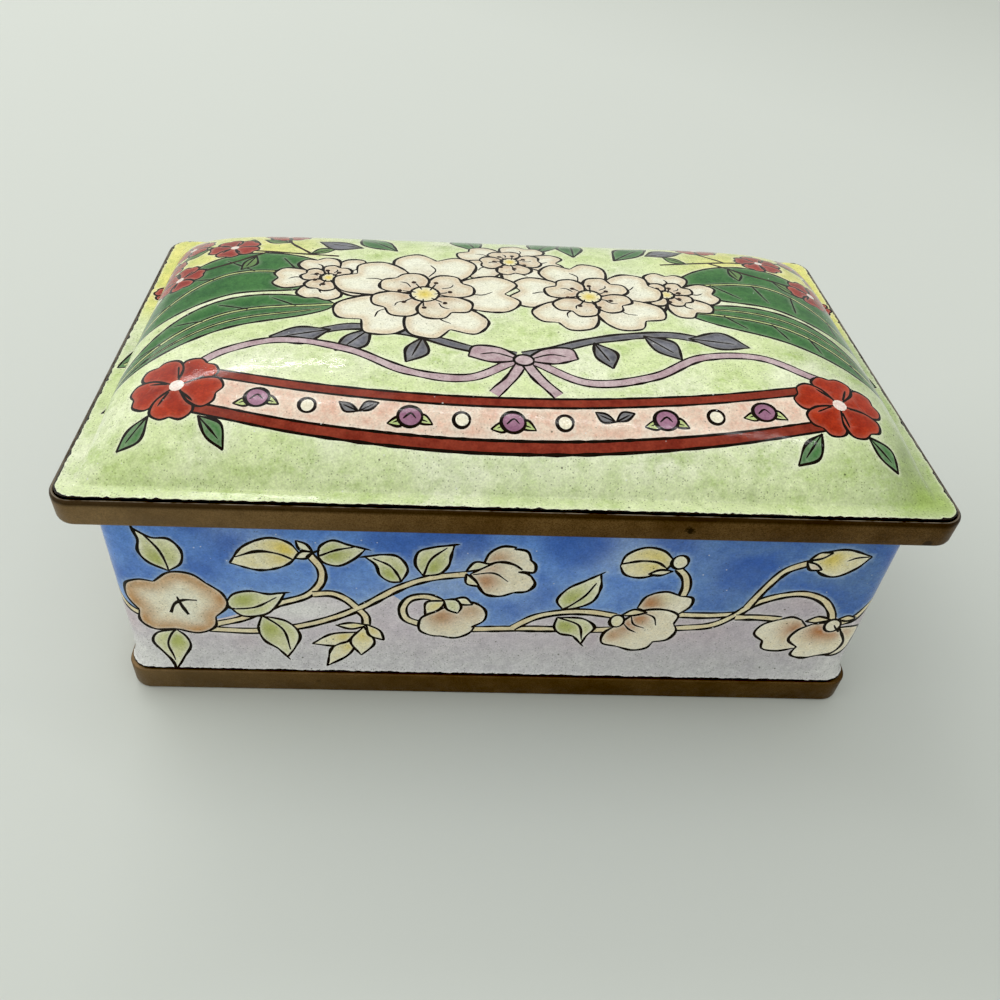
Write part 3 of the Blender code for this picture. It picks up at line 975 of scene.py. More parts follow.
def spray_blossom(picture, calyx, angle, size):
    """A half-open blossom seen from the side: two petals behind, one in front, sepals and a round calyx."""
    ahead, square = heading(angle)
    calyx = np.array(calyx, float)

    def at(share, swing):
        return tuple(calyx + ahead * size * share + square * size * swing)

    stain = size * 0.24
    behind = CREAM.stained((*at(0.4, 0.3), stain, PEACH, 0.9))
    picture.shape([
        [at(0.16, 0.1), at(0.3, 0.42), at(0.62, 0.56), at(0.9, 0.4)],
        [at(0.86, 0.42), at(1.04, 0.26), at(0.98, 0.02)],
        [at(0.98, 0.02), at(0.6, 0.0), at(0.16, 0.1)],
    ], behind)
    front = CREAM.stained((*at(0.36, -0.1), stain, PEACH, 1.0), (*at(0.3, -0.32), stain * 0.8, PEACH, 0.6))
    picture.shape([
        [at(0.12, -0.02), at(0.14, -0.4), at(0.44, -0.56)],
        [at(0.42, -0.55), at(0.68, -0.56), at(0.86, -0.36)],
        [at(0.84, -0.38), at(1.04, -0.22), at(0.96, 0.04)],
        [at(0.96, 0.04), at(0.66, 0.18), at(0.34, 0.14), at(0.12, -0.02)],
    ], front, INK_WIDTH * 1.05)
    picture.line((at(0.2, -0.04), at(0.42, -0.06), at(0.62, -0.2)), INK_WIDTH * 0.65)
    picture.line((at(0.2, -0.1), at(0.36, -0.24), at(0.5, -0.3)), INK_WIDTH * 0.65)
    picture.petal(at(-0.02, 0.04), at(0.36, 0.26), size * 0.15, STEM, 0.2)
    picture.petal(at(-0.02, -0.06), at(0.3, -0.3), size * 0.14, STEM, -0.2)
    picture.round(at(0, 0), size * 0.11, BUD, 1.1)


def spray_open(picture, centre, start, radius):
    """An open blossom seen face on: five uneven petals in one wash, and crossed stamens."""
    centre = np.array(centre, float)
    runs = []
    for petal in range(5):
        marks = []
        for share, reach in ((0.0, 0.8), (0.28, 1.04), (0.68, 1.06), (1.0, 0.8)):
            turn = math.radians(start) + 2 * math.pi * (petal + share) / 5
            marks.append(tuple(centre + radius * reach * np.array([math.cos(turn), 0.86 * math.sin(turn)])))
        runs.append(marks)
    picture.shape(runs, CREAM_BROWN.stained((*centre, radius * 0.5, (240, 240, 214), 0.9)))
    x, z = centre
    picture.line(((x - 0.2, z + 1.5), (x + 0.1, z), (x + 0.9, z - 2.0)), INK_WIDTH, (0.5, 1.0))
    picture.line(((x - 1.7, z - 1.8), (x - 0.4, z + 0.2), (x + 2.2, z + 0.7)), INK_WIDTH, (1.0, 0.5))


# The vines of the ends and of the back: their stems, then what grows on them, with its place, angle and size.
# Places are along the wall from the vine's own zero, and up. None stands for the angle given to vine().
SIDE_STEMS = (
    ((-31.5, 24.9), (-27.0, 25.4), (-21.0, 22.0), (-13.0, 17.6), (-4.0, 17.4), (5.0, 21.6), (14.0, 24.2),
     (23.0, 21.6), (31.5, 19.2), (38.0, 19.6)),
    ((-19.0, 21.2), (-18.6, 25.8), (-15.6, 29.6), (-11.4, 31.0)),
    ((2.0, 20.2), (1.4, 24.6), (3.6, 28.6), (8.0, 31.2)),
    ((15.0, 24.0), (19.4, 27.0), (22.0, 30.4)),
    ((-9.0, 17.0), (-5.6, 13.6), (-1.4, 12.2)),
)
SIDE_SPRAYS = (
    (spray_leaf, -26.0, 25.2, 60, 8.0), (spray_leaf, -24.0, 23.2, -80, 8.6),
    (spray_leaf, 9.6, 23.2, -70, 8.4), (spray_leaf, -17.6, 28.0, -28, 6.2),
    (spray_leaf, 26.6, 20.6, -110, 7.8), (spray_leaf, 27.8, 20.2, 70, 8.4),
    (spray_bud, -11.0, 31.2, 8, 8.0), (spray_bud, 22.4, 30.8, 30, 7.0), (spray_bud, -1.0, 12.2, -12, 7.0),
    (spray_blossom, 8.2, 31.0, -6, 9.6), (spray_open, -9.6, 22.0, None, 6.2),
    (spray_blossom, 17.4, 18.6, -20, 10.0),
)
BACK_STEMS = (
    ((-8.6, 19.3), (-3.0, 19.6), (4.0, 22.4), (13.0, 24.6), (22.0, 21.0), (31.0, 17.4), (40.0, 18.6),
     (47.0, 22.6)),
    ((8.0, 23.6), (11.0, 28.0), (16.0, 30.6)),
    ((27.0, 18.6), (28.0, 23.4), (32.0, 27.4)),
    ((-1.6, 20.2), (2.4, 18.6), (4.4, 15.6)),
)
BACK_SPRAYS = (
    (spray_leaf, 3.0, 22.0, 110, 8.2), (spray_leaf, 18.0, 23.0, -80, 8.6), (spray_leaf, 38.0, 18.2, -60, 8.0),
    (spray_leaf, 47.0, 22.6, 35, 6.4), (spray_leaf, 40.6, 19.2, 95, 8.0), (spray_bud, 16.4, 30.8, 4, 8.0),
    (spray_blossom, 32.2, 27.6, 10, 9.6), (spray_open, 4.6, 13.8, None, 5.4),
)


def vine(picture, zero, way, stems, sprays, open_angle):
    """A vine about its zero on the walls; way is 1 or -1 for the direction that it grows in."""

    def at(ahead, height):
        return (zero + way * ahead, height)

    for line in stems:
        picture.stem([at(*place) for place in line])
    for draw, ahead, height, angle, size in sprays:
        if angle is None:
            angle = open_angle
        elif way < 0:
            angle = 180 - angle
        draw(picture, at(ahead, height), angle, size)


def horizon_line():
    """The top of the mauve ground all round: the stems' line on the front, the vines' lines elsewhere."""
    side = ((-30.5, 24.9), *SIDE_STEMS[0][1:-1])
    back = (*BACK_STEMS[0][1:-1], (47.0, 19.0))
    right = [(RIGHT_SIDE + x, z) for x, z in side] + [(BACK_CORNER + x, z) for x, z in back]
    right.append((WALL_RUN / 2, 18.6))
    return [(-x, z) for x, z in right[::-1]] + list(FRONT_HORIZON) + right


def fired_line(low, reach, start, stop):
    """A thin dark strip with a ragged upper edge, where the glaze ends on bare metal."""
    x = np.arange(start, stop, 0.42)
    height = reach * (0.55 + 0.25 * wobble(x, 7.0) + random_source.uniform(-0.2, 0.3, len(x)))
    upper = np.column_stack([x, low + np.maximum(height, 0.06)])[1:-1]
    level = low + reach * 0.5
    return np.vstack([[(start, low - 1), (stop, low - 1), (stop, level)], upper[::-1], [(start, level)]])


def wall_picture():
    picture = Picture(sky)
    end = WALL_RUN / 2
    top = smooth(horizon_line(), step=1.0)
    picture.area(np.vstack([top, [(end, WALL_LOW - 1), (-end, WALL_LOW - 1)]]), Earth())
    for line in FRONT_STEMS:
        picture.stem(line)
    for marks in FRONT_LEAVES:
        picture.leaf(*marks)
    front_buds(picture)
    front_blossoms(picture)
    for way, open_angle in ((1, 20), (-1, 50)):
        vine(picture, way * RIGHT_SIDE, way, SIDE_STEMS, SIDE_SPRAYS, open_angle)
    for way in (1, -1):
        vine(picture, way * BACK_CORNER, way, BACK_STEMS, BACK_SPRAYS, 10)
    picture.area(fired_line(WALL_LOW, 0.25, -end, end), INK)
    return picture


# The lid's picture: blossoms and leaves over a swag of ribbon, on a pale speckled ground.

GREEN = Wash((72, 124, 66), (42, 92, 50), pooling=0.85, specks=0.2, rim=((100, 148, 88), 1.2, 0.4), edge=0.12)
PALE_GREEN = Wash((206, 216, 156), (176, 196, 116), specks=0.3, edge=0.0)
GREY_GREEN = Wash((120, 150, 92), (82, 116, 70), specks=0.3, edge=0.0)
RED = Wash((178, 54, 24), (136, 28, 10), pooling=0.85, specks=0.1, rim=((190, 76, 40), 0.8, 0.4), edge=0.06)
DARK_RED = Wash((170, 58, 44), (120, 26, 24), pooling=0.85, specks=0.1, rim=((196, 92, 70), 0.7, 0.5),
                edge=0.12)
SWAG_RED = Wash((150, 62, 44), (112, 32, 22), pooling=0.8, specks=0.2, edge=0.0)
SWAG_FIELD = Wash((240, 218, 198), (230, 182, 160), pooling=0.9, specks=0.3)
MAUVE = Wash((212, 192, 194), (170, 136, 146), pooling=0.8, specks=0.2, edge=0.0)
ROSETTE = Wash((172, 126, 150), (132, 82, 112), pooling=0.7, specks=0.0, edge=0.0)
SLATE = Wash((140, 140, 150), (84, 84, 94), pooling=0.8, specks=0.0, rim=((54, 50, 58), 0.8, 0.7), edge=0.12)
PETAL = Wash((248, 247, 228), (240, 236, 208), pooling=0.6, specks=0.35, rim=((206, 162, 110), 1.3, 0.6))
HEART = Wash((246, 236, 226), (236, 200, 190))

GROUND_CLOUD, PATCH_CLOUD = Cloud(22.0), Cloud(8.0)
# Darker places of the lid's ground: x, y, reach, colour, strength.
LID_SPOTS = (
    (56, -29, 4.4, (112, 128, 84), 0.85), (59, -34, 4.2, (158, 182, 88), 0.75),
    (46, -31, 3.4, (158, 178, 110), 0.25), (33, -34.6, 0.9, (140, 164, 84), 0.7),
    (-54, -31, 4.5, (184, 208, 116), 0.3), (-44, -24, 4.5, (196, 216, 130), 0.2),
    (-38, -34, 4.0, (190, 208, 126), 0.12), (57, -8, 10.0, (172, 188, 142), 0.6),
)


def lid_ground(points, halo):
    """Pale yellow-green, yellow towards the back corners, greyer towards the right end partly as painted
    shade, with painted shade on the flange, and smudged at the right front corner.
    """
    x, y = points.T
    cloud = PATCH_CLOUD(points)
    colour = layered(
        linear(230, 241, 188),
        ((243, 248, 214), ramp(GROUND_CLOUD(points), 0.35, 0.85)),
        ((242, 246, 216), np.exp(-(((x - 8) / 28) ** 2) - ((y + 30) / 6) ** 2) * 0.7),
        # Greyer towards the right end: partly the ground's own tone, partly painted shade where the light
        # falls off.
        ((188, 200, 158), ramp(x, 38, 60) * 0.7),
    )
    # Painted shade: a little darker on the flange and the cove at the dome's foot.
    flange_shade = 1 - ramp(from_edge(points, LID_HALF, LID_RADIUS), 1.6, 4.0)
    colour = layered(
        colour * (1 - 0.08 * flange_shade)[:, None],
        ((244, 236, 140), ramp(np.abs(x), 24, 42) * ramp(y, 4, 16) * 0.9),
        *((tint, dab(points, *place) * strength * (0.5 + 0.8 * cloud))
          for *place, tint, strength in LID_SPOTS),
        ((236, 238, 212), halo * 0.5),
    )
    pooled = layered(colour, ((168, 194, 104), (0.42 + 0.42 * cloud) * (1 - halo)))
    return paint_rows(colour, 0.6 + 0.35 * cloud, pooled, 0.9)


def polar(centre, reach, degrees, squeeze=1.0):
    turn = math.radians(degrees)
    return (centre[0] + reach * math.cos(turn), centre[1] + reach * squeeze * math.sin(turn))


def lobe(picture, centre, degrees, inner, outer, spread, wash, squeeze, notch, ink=LID_INK):
    """One broad petal outward from a centre, with a notch in its edge."""

    def run(*marks):
        return [polar(centre, reach, degrees + swing * spread, squeeze) for reach, swing in marks]

    dip = outer * notch
    picture.shape([
        run((inner, -0.5), (outer * 0.62, -1.0), (outer * 0.92, -0.72), (outer, -0.3), (dip, 0.0)),
        run((dip, 0.0), (outer * 1.02, 0.34), (outer * 0.9, 0.78), (outer * 0.6, 1.0), (inner, 0.5)),
    ], wash, ink)


def peony(picture, centre, radius, start):
    """A large open blossom: two rings of petals round a small heart."""
    squeeze = 0.86
    for count, reach, first in ((5, 1.0, 0), (4, 0.56, 30)):
        for petal in range(count):
            turn = start + first + 360 * petal / count + random_source.uniform(-5, 5)
            length = radius * reach * random_source.uniform(0.93, 1.05)
            base = polar(centre, length * 0.35, turn, squeeze)
            wash = PETAL.stained((*base, radius * 0.2, PEACH, 0.45))
            notch = random_source.uniform(0.84, 0.92)
            lobe(picture, centre, turn, radius * 0.1, length, 185 / count, wash, squeeze, notch)
            vein = [polar(centre, length * share, turn + swing, squeeze)
                    for share, swing in ((0.42, 3), (0.6, -2), (0.72, 4))]
            picture.line(vein, LID_INK * 0.6, (0.8, 0.3))
    picture.round(centre, radius * 0.15, BUD.stained((*centre, radius * 0.1, YELLOW, 0.9)))
    for step in range(7):
        turn = start + step * 360 / 7
        stamen = (polar(centre, radius * 0.1, turn), polar(centre, radius * 0.24, turn + 6))
        picture.line(stamen, FINE_INK, (0.7, 1.0))
        picture.area(disc(polar(centre, radius * 0.27, turn + 8), 0.42, count=10), SOFT_INK)


def broad_leaf(picture, base, bend, tip, width, striped):
    """A long leaf over a curved pale midrib, with or without a pale stripe beside one edge."""
    rib = smooth((base, bend, tip), step=1.2)
    side = across(rib)
    share = along(rib) / along(rib)[-1]
    half = width / 2 * np.sin(math.pi * share**0.75) ** 0.8
    left, right = sides(rib, half)
    picture.shape([left, right[::-1]], GREEN, LID_INK)
    if striped:
        inner = slice(2, -3)
        upper, lower = (rib[inner] + side[inner] * (half[inner] * part)[:, None] for part in (0.62, 0.5))
        picture.area(between(upper, lower), PALE_GREEN)
        picture.line(upper[::3], FINE_INK, (0.6, 0.4))
        picture.line(lower[::3], FINE_INK, (0.4, 0.6))
    picture.stem(rib[:-1:3], 0.6, PALE_GREEN, 0.32)
    veins = 4
    for vein in range(1, veins + 1):
        spot = int(len(rib) * vein / (veins + 1.6))
        ahead = min(spot + 3, len(rib) - 1)
        picture.line((rib[spot], rib[ahead] - side[ahead] * half[ahead] * 0.75), VEIN_INK, (0.9, 0.3))


def small_leaf(picture, base, degrees, length, wash, width=0.42, ink=0.42):
    tip = polar(base, length, degrees)
    picture.petal(base, tip, length * width, wash, length * 0.07, ink)
    picture.line((base, polar(base, length * 0.75, degrees + 3)), ink * 0.7, (0.8, 0.3))


def red_blossom(picture, centre, radius, start, wash=DARK_RED):
    """A rounded blossom of five petals with a pale heart."""
    for petal in range(5):
        lobe(picture, centre, start + 72 * petal, 0.2, radius, 40, wash, 0.9, 0.93, 0.42)
    for petal in range(5):
        turn = start + 36 + 72 * petal
        gap = (polar(centre, radius * 0.22, turn), polar(centre, radius * 0.62, turn + 7))
        picture.line(gap, VEIN_INK, (1.0, 0.3))
    picture.area(disc(centre, radius * 0.16, count=12), HEART)


def red_spray(picture, way, stems, leaves, blossoms):
    """Thin stems with grey-green leaves and dark red blossoms, near one back corner."""
    for line in stems:
        picture.line([(way * x, y) for x, y in line], 0.6, (0.9, 0.5), SOFT_INK)
    for x, y, degrees, length in leaves:
        small_leaf(picture, (way * x, y), degrees if way > 0 else 180 - degrees, length, GREY_GREEN)
    for x, y, radius, start in blossoms:
        red_blossom(picture, (way * x, y), radius, start)


# The leaves at a ring, a pair of leaves and a rose of the ribbon: angle, length, paint and width.
SWAG_LEAVES = {
    "o": (),
    "l": ((152, 3.2, SLATE, 0.45), (28, 3.2, SLATE, 0.45)),
    "r": ((200, 3.4, PALE_GREEN, 0.42), (-20, 3.4, PALE_GREEN, 0.42)),
}


def swag(picture):
    """A draped ribbon with a red border and a pink field, tied with a red blossom at each end."""
    half_line = ((50.5, -20.3), (47, -21.6), (32, -24.8), (14, -26.6))
    line = smooth([(-x, y) for x, y in half_line] + [(0, -27.0), *half_line[::-1]], step=1.0)
    side = across(line)
    edge, field = 4.1, 2.5
    for half, wash in ((edge, SWAG_RED), (field, SWAG_FIELD)):
        picture.area(between(line + side * half, line - side * half), wash)
    for offset in (-edge, -field, field, edge):
        picture.area(brush(line + side * offset, 0.42, (0.6, 0.6)), INK)
    for end in (0, -1):
        cut = np.array([line[end] - side[end] * edge, line[end] + side[end] * edge])
        picture.area(brush(cut, LID_INK, (1, 1)), INK)

    length = along(line)
    for step, kind in zip(range(-5, 6), "rolrorolror"):
        place = [np.interp(length[-1] / 2 + step * 7.2, length, line[:, axis]) for axis in (0, 1)]
        centre = tuple(np.array(place) + (0, 0.15))
        for degrees, size, wash, width in SWAG_LEAVES[kind]:
            small_leaf(picture, centre, degrees, size, wash, width, 0.36)
        if kind == "o":
            picture.round(centre, 1.15, CREAM)
        if kind == "r":
            picture.round(centre, 1.7, ROSETTE, 0.92)
            picture.line((polar(centre, 1.0, 200), polar(centre, 0.5, 80), polar(centre, 0.9, -20)), FINE_INK)
    for way, start in ((-1, 54), (1, 18)):
        small_leaf(picture, (way * 50.5, -26.6), -90 + way * 38, 6.0, GREEN)
        small_leaf(picture, (way * 43.6, -27.0), -90 - way * 42, 6.0, GREEN)
        red_blossom(picture, (way * 47.5, -21.6), 6.6, start, RED)


def bow(picture, x, y):
    """Two loops and a knot of mauve ribbon with long waving tails."""

    def at(way, *marks):
        return [(x + way * ahead, y + up) for ahead, up in marks]

    def ribbon(points, width=1.5):
        picture.stem(points, width, MAUVE, 0.38)

    ribbon(at(-1, (1, 0), (8, -4.4), (17, -3.4), (26, 1.4), (36, 3.4), (44, 0.4), (50, -4.6), (55, -4.4)))
    ribbon(at(1, (1, 0), (9, -4.8), (19, -3.0), (27, 2.0), (36, 2.6), (43, -1.4), (49, -3.6)))
    for way in (-1, 1):
        loop = at(way, (0, 0), (3.4, 3.0), (7.4, 3.2), (8.2, 0.6), (4.6, -0.7), (0, 0))
        picture.shape([loop[:4], loop[3:]], MAUVE)
        picture.line(at(way, (1.2, 0.4), (4.2, 1.6), (6.4, 1.2)), 0.36)
        ribbon(at(way, (0, 0), (2.0, -4.2), (4.6, -7.6)), 1.6)
    picture.round((x, y), 1.5, MAUVE, 0.9)


def fired_ring():
    """The dark line round the lid's edge, ragged on its inner side."""
    outline = rounded_outline(LID_HALF + 0.1, LID_RADIUS + 0.1, 8, 0.5)
    count = len(outline)
    reach = 0.21 + 0.05 * wobble(np.arange(count) * 0.5, 9.0)
    reach = reach + random_source.uniform(-0.06, 0.1, count) + 0.2 * (random_source.random(count) > 0.93)
    reach = reach + 0.16 * np.maximum(ramp(np.abs(outline[:, 0]), 58, 61), ramp(outline[:, 1], 30, 36))
    reach = np.maximum(reach, 0.16)
    toward = -across(np.vstack([outline[-1:], outline, outline[:1]]))[1:-1]
    inner = outline - toward * reach[:, None]
    return np.vstack([outline, outline[:1], inner[:1], inner[::-1]])


def lid_picture():
    picture = Picture(lid_ground)
    for base, bend, tip, width, striped in (
        ((-26, 8), (-45, 9), (-61.4, -7), 14.0, False), ((-27, -0.5), (-44, -4), (-60.4, -19), 8.5, True),
        ((29, 9), (46, 10), (61.4, -6), 14.0, False), ((29, 1), (45, -3), (60.4, -17), 8.5, True),
    ):
        broad_leaf(picture, base, bend, tip, width, striped)
    for way, stems, leaves, blossoms in (
        (-1,
         (((28, 16), (38, 17), (47, 19), (55, 24)), ((40, 17.4), (46, 13), (54, 10)),
          ((33, 16.8), (37, 22), (38, 28))),
         ((33, 16.6, 150, 5), (43, 18.4, 80, 6), (50, 12, -50, 5.4), (37, 22, 20, 5.4), (51, 21, -24, 5.6),
          (42, 15.4, -70, 5.4)),
         ((55, 23.4, 4.0, 10), (46.6, 19.6, 4.6, 40), (54.4, 10.4, 4.4, 0), (38, 27, 4.2, 30),
          (58, 16.6, 3.4, 20))),
        (1,
         (((28, 17), (38, 19), (47, 21), (55, 26)), ((37, 18.6), (44, 14.4), (53, 12)),
          ((40, 19.4), (36, 24), (37, 29))),
         ((33, 17.8, 140, 5), (45, 20.4, 70, 6), (47, 13.4, -50, 5.6), (51, 23.6, -30, 5.4),
          (40, 17, -80, 5)),
         ((55.4, 25, 3.8, 0), (46.8, 21, 4.4, 25), (54, 12, 4.6, 50), (36.6, 27, 4.2, 12),
          (58.6, 19, 3.4, 44))),
    ):
        red_spray(picture, way, stems, leaves, blossoms)

    picture.stem(((-30, -9), (-24, -7), (-16, -8), (-6, -12), (1, -13.4)), 1.6, SLATE)
    picture.stem(((31, -8), (25, -6.6), (14, -8.6), (6, -12), (2, -13.4)), 1.6, SLATE)
    for wash, width, leaves in (
        (SLATE, 0.5, ((-27, -8, 195, 9.4), (-21, -7.4, 232, 8.0), (-13, -9.4, 250, 7.0), (28, -7.4, -12, 9.4),
                      (21, -7.0, -52, 8.0), (13, -9.4, -72, 7.0), (-24, 20, 160, 8.6), (26, 21, 22, 8.0))),
        (GREEN, 0.46, ((-4, 20, 100, 12), (6, 20, 62, 12), (-18, 19, 128, 11), (20, 18, 48, 11),
                       (13, 19, 84, 10))),
    ):
        for x, y, degrees, length in leaves:
            small_leaf(picture, (x, y), degrees, length, wash, width, LID_INK)
    bow(picture, 2, -14.6)
    swag(picture)
    for centre, radius, start in (((27, 6), 8.6, 10), ((-29, 8), 8.8, 40), ((1.5, 16), 10.0, 70),
                                  ((14, 4.5), 13.2, 25), ((-13, 3.5), 15.6, 5)):
        peony(picture, centre, radius, start)
    picture.area(fired_ring(), INK)
    return picture


# Bands and solids.

def sweep(name, profile, half, radius, material):
    """A closed band: a profile of (inset, height) carried round the rounded rectangle."""
    # A spacing longer than the band leaves its straight sides as single faces.
    corner_steps, spacing, least_radius = 12, 200, 0.45
    rings = [rounded_outline(half - inset, max(radius - inset, least_radius), corner_steps, spacing)
             for inset, _ in profile]
    count = len(rings[0])
    points = [Vector((x, y, height)) * MM for ring, (_, height) in zip(rings, profile) for x, y in ring]
    faces = []
    for row in range(len(profile)):
        first, after = row * count, (row + 1) % len(profile) * count
        for column in range(count):
            beside = (column + 1) % count
            faces.append((first + column, first + beside, after + beside, after + column))
    mesh = bpy.data.meshes.new(name)
    mesh.from_pydata(points, [], faces)
    mesh.shade_smooth()
    mesh.set_sharp_from_angle(angle=math.radians(38))
    band = linked(name, mesh)
    band.data.materials.append(material)
    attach(band, "root")
    return band


def edge_arc(radius, height, start):
    """Points of a quarter round in a profile, about a centre; degrees from straight outwards, upwards."""
    turns = [math.radians(start + 90 * step / 3) for step in range(4)]
    return [(radius - radius * math.cos(turn), height + radius * math.sin(turn)) for turn in turns]


# The lid band's crest stands a little over its solid's flat top.
BAND_CREST = BAND_HIGH + 0.2
BAND_EDGE = 0.6
BAND_TRAY = FLANGE_HIGH - SHELL_THICKNESS - 0.3
LID_BAND_PROFILE = [
    *edge_arc(BAND_EDGE, BAND_LOW + BAND_EDGE, -90), *edge_arc(BAND_EDGE, BAND_CREST - BAND_EDGE, 0)[:3],
    (0.38, BAND_CREST - 0.02), (BAND_EDGE, BAND_CREST - 0.1), (BAND_EDGE, BAND_TRAY), (BAND_WIDTH, BAND_TRAY),
    (BAND_WIDTH, BAND_LOW + BAND_LEDGE), (LIP_INNER, BAND_LOW + BAND_LEDGE), (LIP_INNER, LIP_LOW),
    (LIP_OUTER, LIP_LOW), (LIP_OUTER, BAND_LOW),
]
FOOT_BAND_PROFILE = [
    *edge_arc(0.5, 0.5, -90), *edge_arc(0.25, FOOT_HIGH - 0.25, 0),
    (FOOT_WIDTH, FOOT_HIGH), (FOOT_WIDTH, FOOT_STEP), (FOOT_WIDTH + FOOT_LEDGE, FOOT_STEP),
    (FOOT_WIDTH + FOOT_LEDGE, 0.0),
]


# Materials.

def rgba(red, green, blue):
    return (*linear(red, green, blue), 1.0)


class Nodes:
    """A short way to write the nodes of a material or of the world."""

    def __init__(self, owner, shader="Principled BSDF", space="Object"):
        self.owner = owner
        owner.use_nodes = True
        self.tree = owner.node_tree
        self.shader = self.tree.nodes[shader]
        self.place = self.add("ShaderNodeTexCoord").outputs[space]

    def add(self, kind, **inputs):
        node = self.tree.nodes.new(kind)
        for name, value in inputs.items():
            self.set(node, name, value)
        return node

    def set(self, node, name, value):
        socket = node.inputs[int(name[1:]) if name[0] == "_" else name]
        if isinstance(value, bpy.types.NodeSocket):
            self.tree.links.new(value, socket)
        else:
            socket.default_value = value

    def paint(self, layer):
        """The colour and the fourth value of one of the mesh's paint layers."""
        node = self.add("ShaderNodeAttribute")
        node.attribute_name = layer
        return node.outputs["Color"], node.outputs["Alpha"]

    def axes(self):
        return self.add("ShaderNodeSeparateXYZ", _0=self.place).outputs

    def noise(self, scale, detail, roughness=0.55):
        return self.add("ShaderNodeTexNoise", Vector=self.place, Scale=scale, Detail=detail,
                        Roughness=roughness).outputs["Fac"]

    def range(self, value, low, high, first=0.0, last=1.0):
        return self.add("ShaderNodeMapRange", _0=value, _1=low, _2=high, _3=first, _4=last).outputs[0]

    def math(self, operation, first, second):
        node = self.add("ShaderNodeMath", _0=first, _1=second)
        node.operation = operation
        return node.outputs[0]

    def times(self, first, second):
        return self.math("MULTIPLY", first, second)

    def mix(self, share, first, second, mode="MIX"):
        node = self.tree.nodes.new("ShaderNodeMix")
        node.data_type = "RGBA"
        node.blend_type = mode
        for index, value in ((0, share), (6, first), (7, second)):
            self.set(node, f"_{index}", value)
        return node.outputs[2]

    def shade(self, colour, factor):
        return self.mix(1.0, colour, factor, "MULTIPLY")

    def speckle(self, colour, scale, radius, limit, strength, tint):
        """Small dots of a tint; limit is the share of the cells that have one."""
        cell = self.add("ShaderNodeTexVoronoi", Vector=self.place, Scale=scale)
        dot = self.range(cell.outputs["Distance"], radius, radius * 0.6)
        chance = self.add("ShaderNodeSeparateColor", _0=cell.outputs["Color"]).outputs[0]
        shown = self.times(dot, self.math("LESS_THAN", chance, limit))
        return self.mix(self.times(shown, strength), colour, rgba(*tint))

    def bump(self, *layers):
        """Adds up (height, distance in metres) layers of relief."""
        normal = None
        for height, distance in layers:
            node = self.add("ShaderNodeBump", Height=height, Distance=distance, Strength=1.0)
            if normal is not None:
                self.set(node, "Normal", normal)
            normal = node.outputs["Normal"]
        self.set(self.shader, "Normal", normal)

    def finish(self, **inputs):
        for name, value in inputs.items():
            self.set(self.shader, name.replace("_", " "), value)
        return self.owner


def glaze(name):
    """Painted enamel: the sheet's two colours mixed in soft pools, with grain, specks and pinholes."""
    n = Nodes(bpy.data.materials.new(name))
    (colour, pooling), (pooled, specks) = n.paint("paint"), n.paint("pooled")
    wide = n.math("ADD", n.times(n.noise(330, 4), 0.5), n.times(n.noise(1100, 3), 0.3))
    pools = n.range(n.math("ADD", wide, n.times(n.noise(2900, 2, 0.7), 0.2)), 0.41, 0.62)
    colour = n.mix(n.times(pools, pooling), colour, pooled)
    colour = n.shade(colour, n.range(n.noise(3200, 2, 0.7), 0.3, 0.7, 0.84, 1.14))
    colour = n.shade(colour, n.range(n.noise(760, 3, 0.6), 0.32, 0.7, 0.93, 1.08))
    colour = n.speckle(colour, 760, 0.15, n.times(specks, 0.07), 0.75, (48, 52, 26))
    clumps = n.range(n.noise(300, 3), 0.35, 0.7, 0.05, 0.6)
    colour = n.speckle(colour, 2700, 0.34, n.times(clumps, specks), 0.5, (60, 66, 32))
    colour = n.speckle(colour, 900, 0.14, 0.1, 0.6, (236, 238, 234))
    n.bump((n.noise(140, 2), 0.00016), (n.noise(1500, 2), 0.00001))
    roughness = n.range(n.noise(420, 3), 0.3, 0.7, 0.07, 0.15)
    return n.finish(Base_Color=colour, Roughness=roughness, IOR=1.5, Specular_IOR_Level=0.22)


def counter_enamel(name):
    """The plain enamel inside and underneath: one slate blue, speckled."""
    n = Nodes(bpy.data.materials.new(name))
    colour = n.mix(n.range(n.noise(260, 4), 0.35, 0.65), rgba(112, 134, 172), rgba(84, 106, 148))
    colour = n.speckle(colour, 900, 0.3, 0.22, 0.6, (206, 214, 224))
    n.bump((n.noise(240, 3), 0.00025), (n.noise(1400, 2), 0.00003))
    return n.finish(Base_Color=colour, Roughness=n.range(n.noise(400, 2), 0.3, 0.7, 0.2, 0.34), IOR=1.5)


BLEMISH = (0.0245, -HALF_Y * MM, 0.0424)


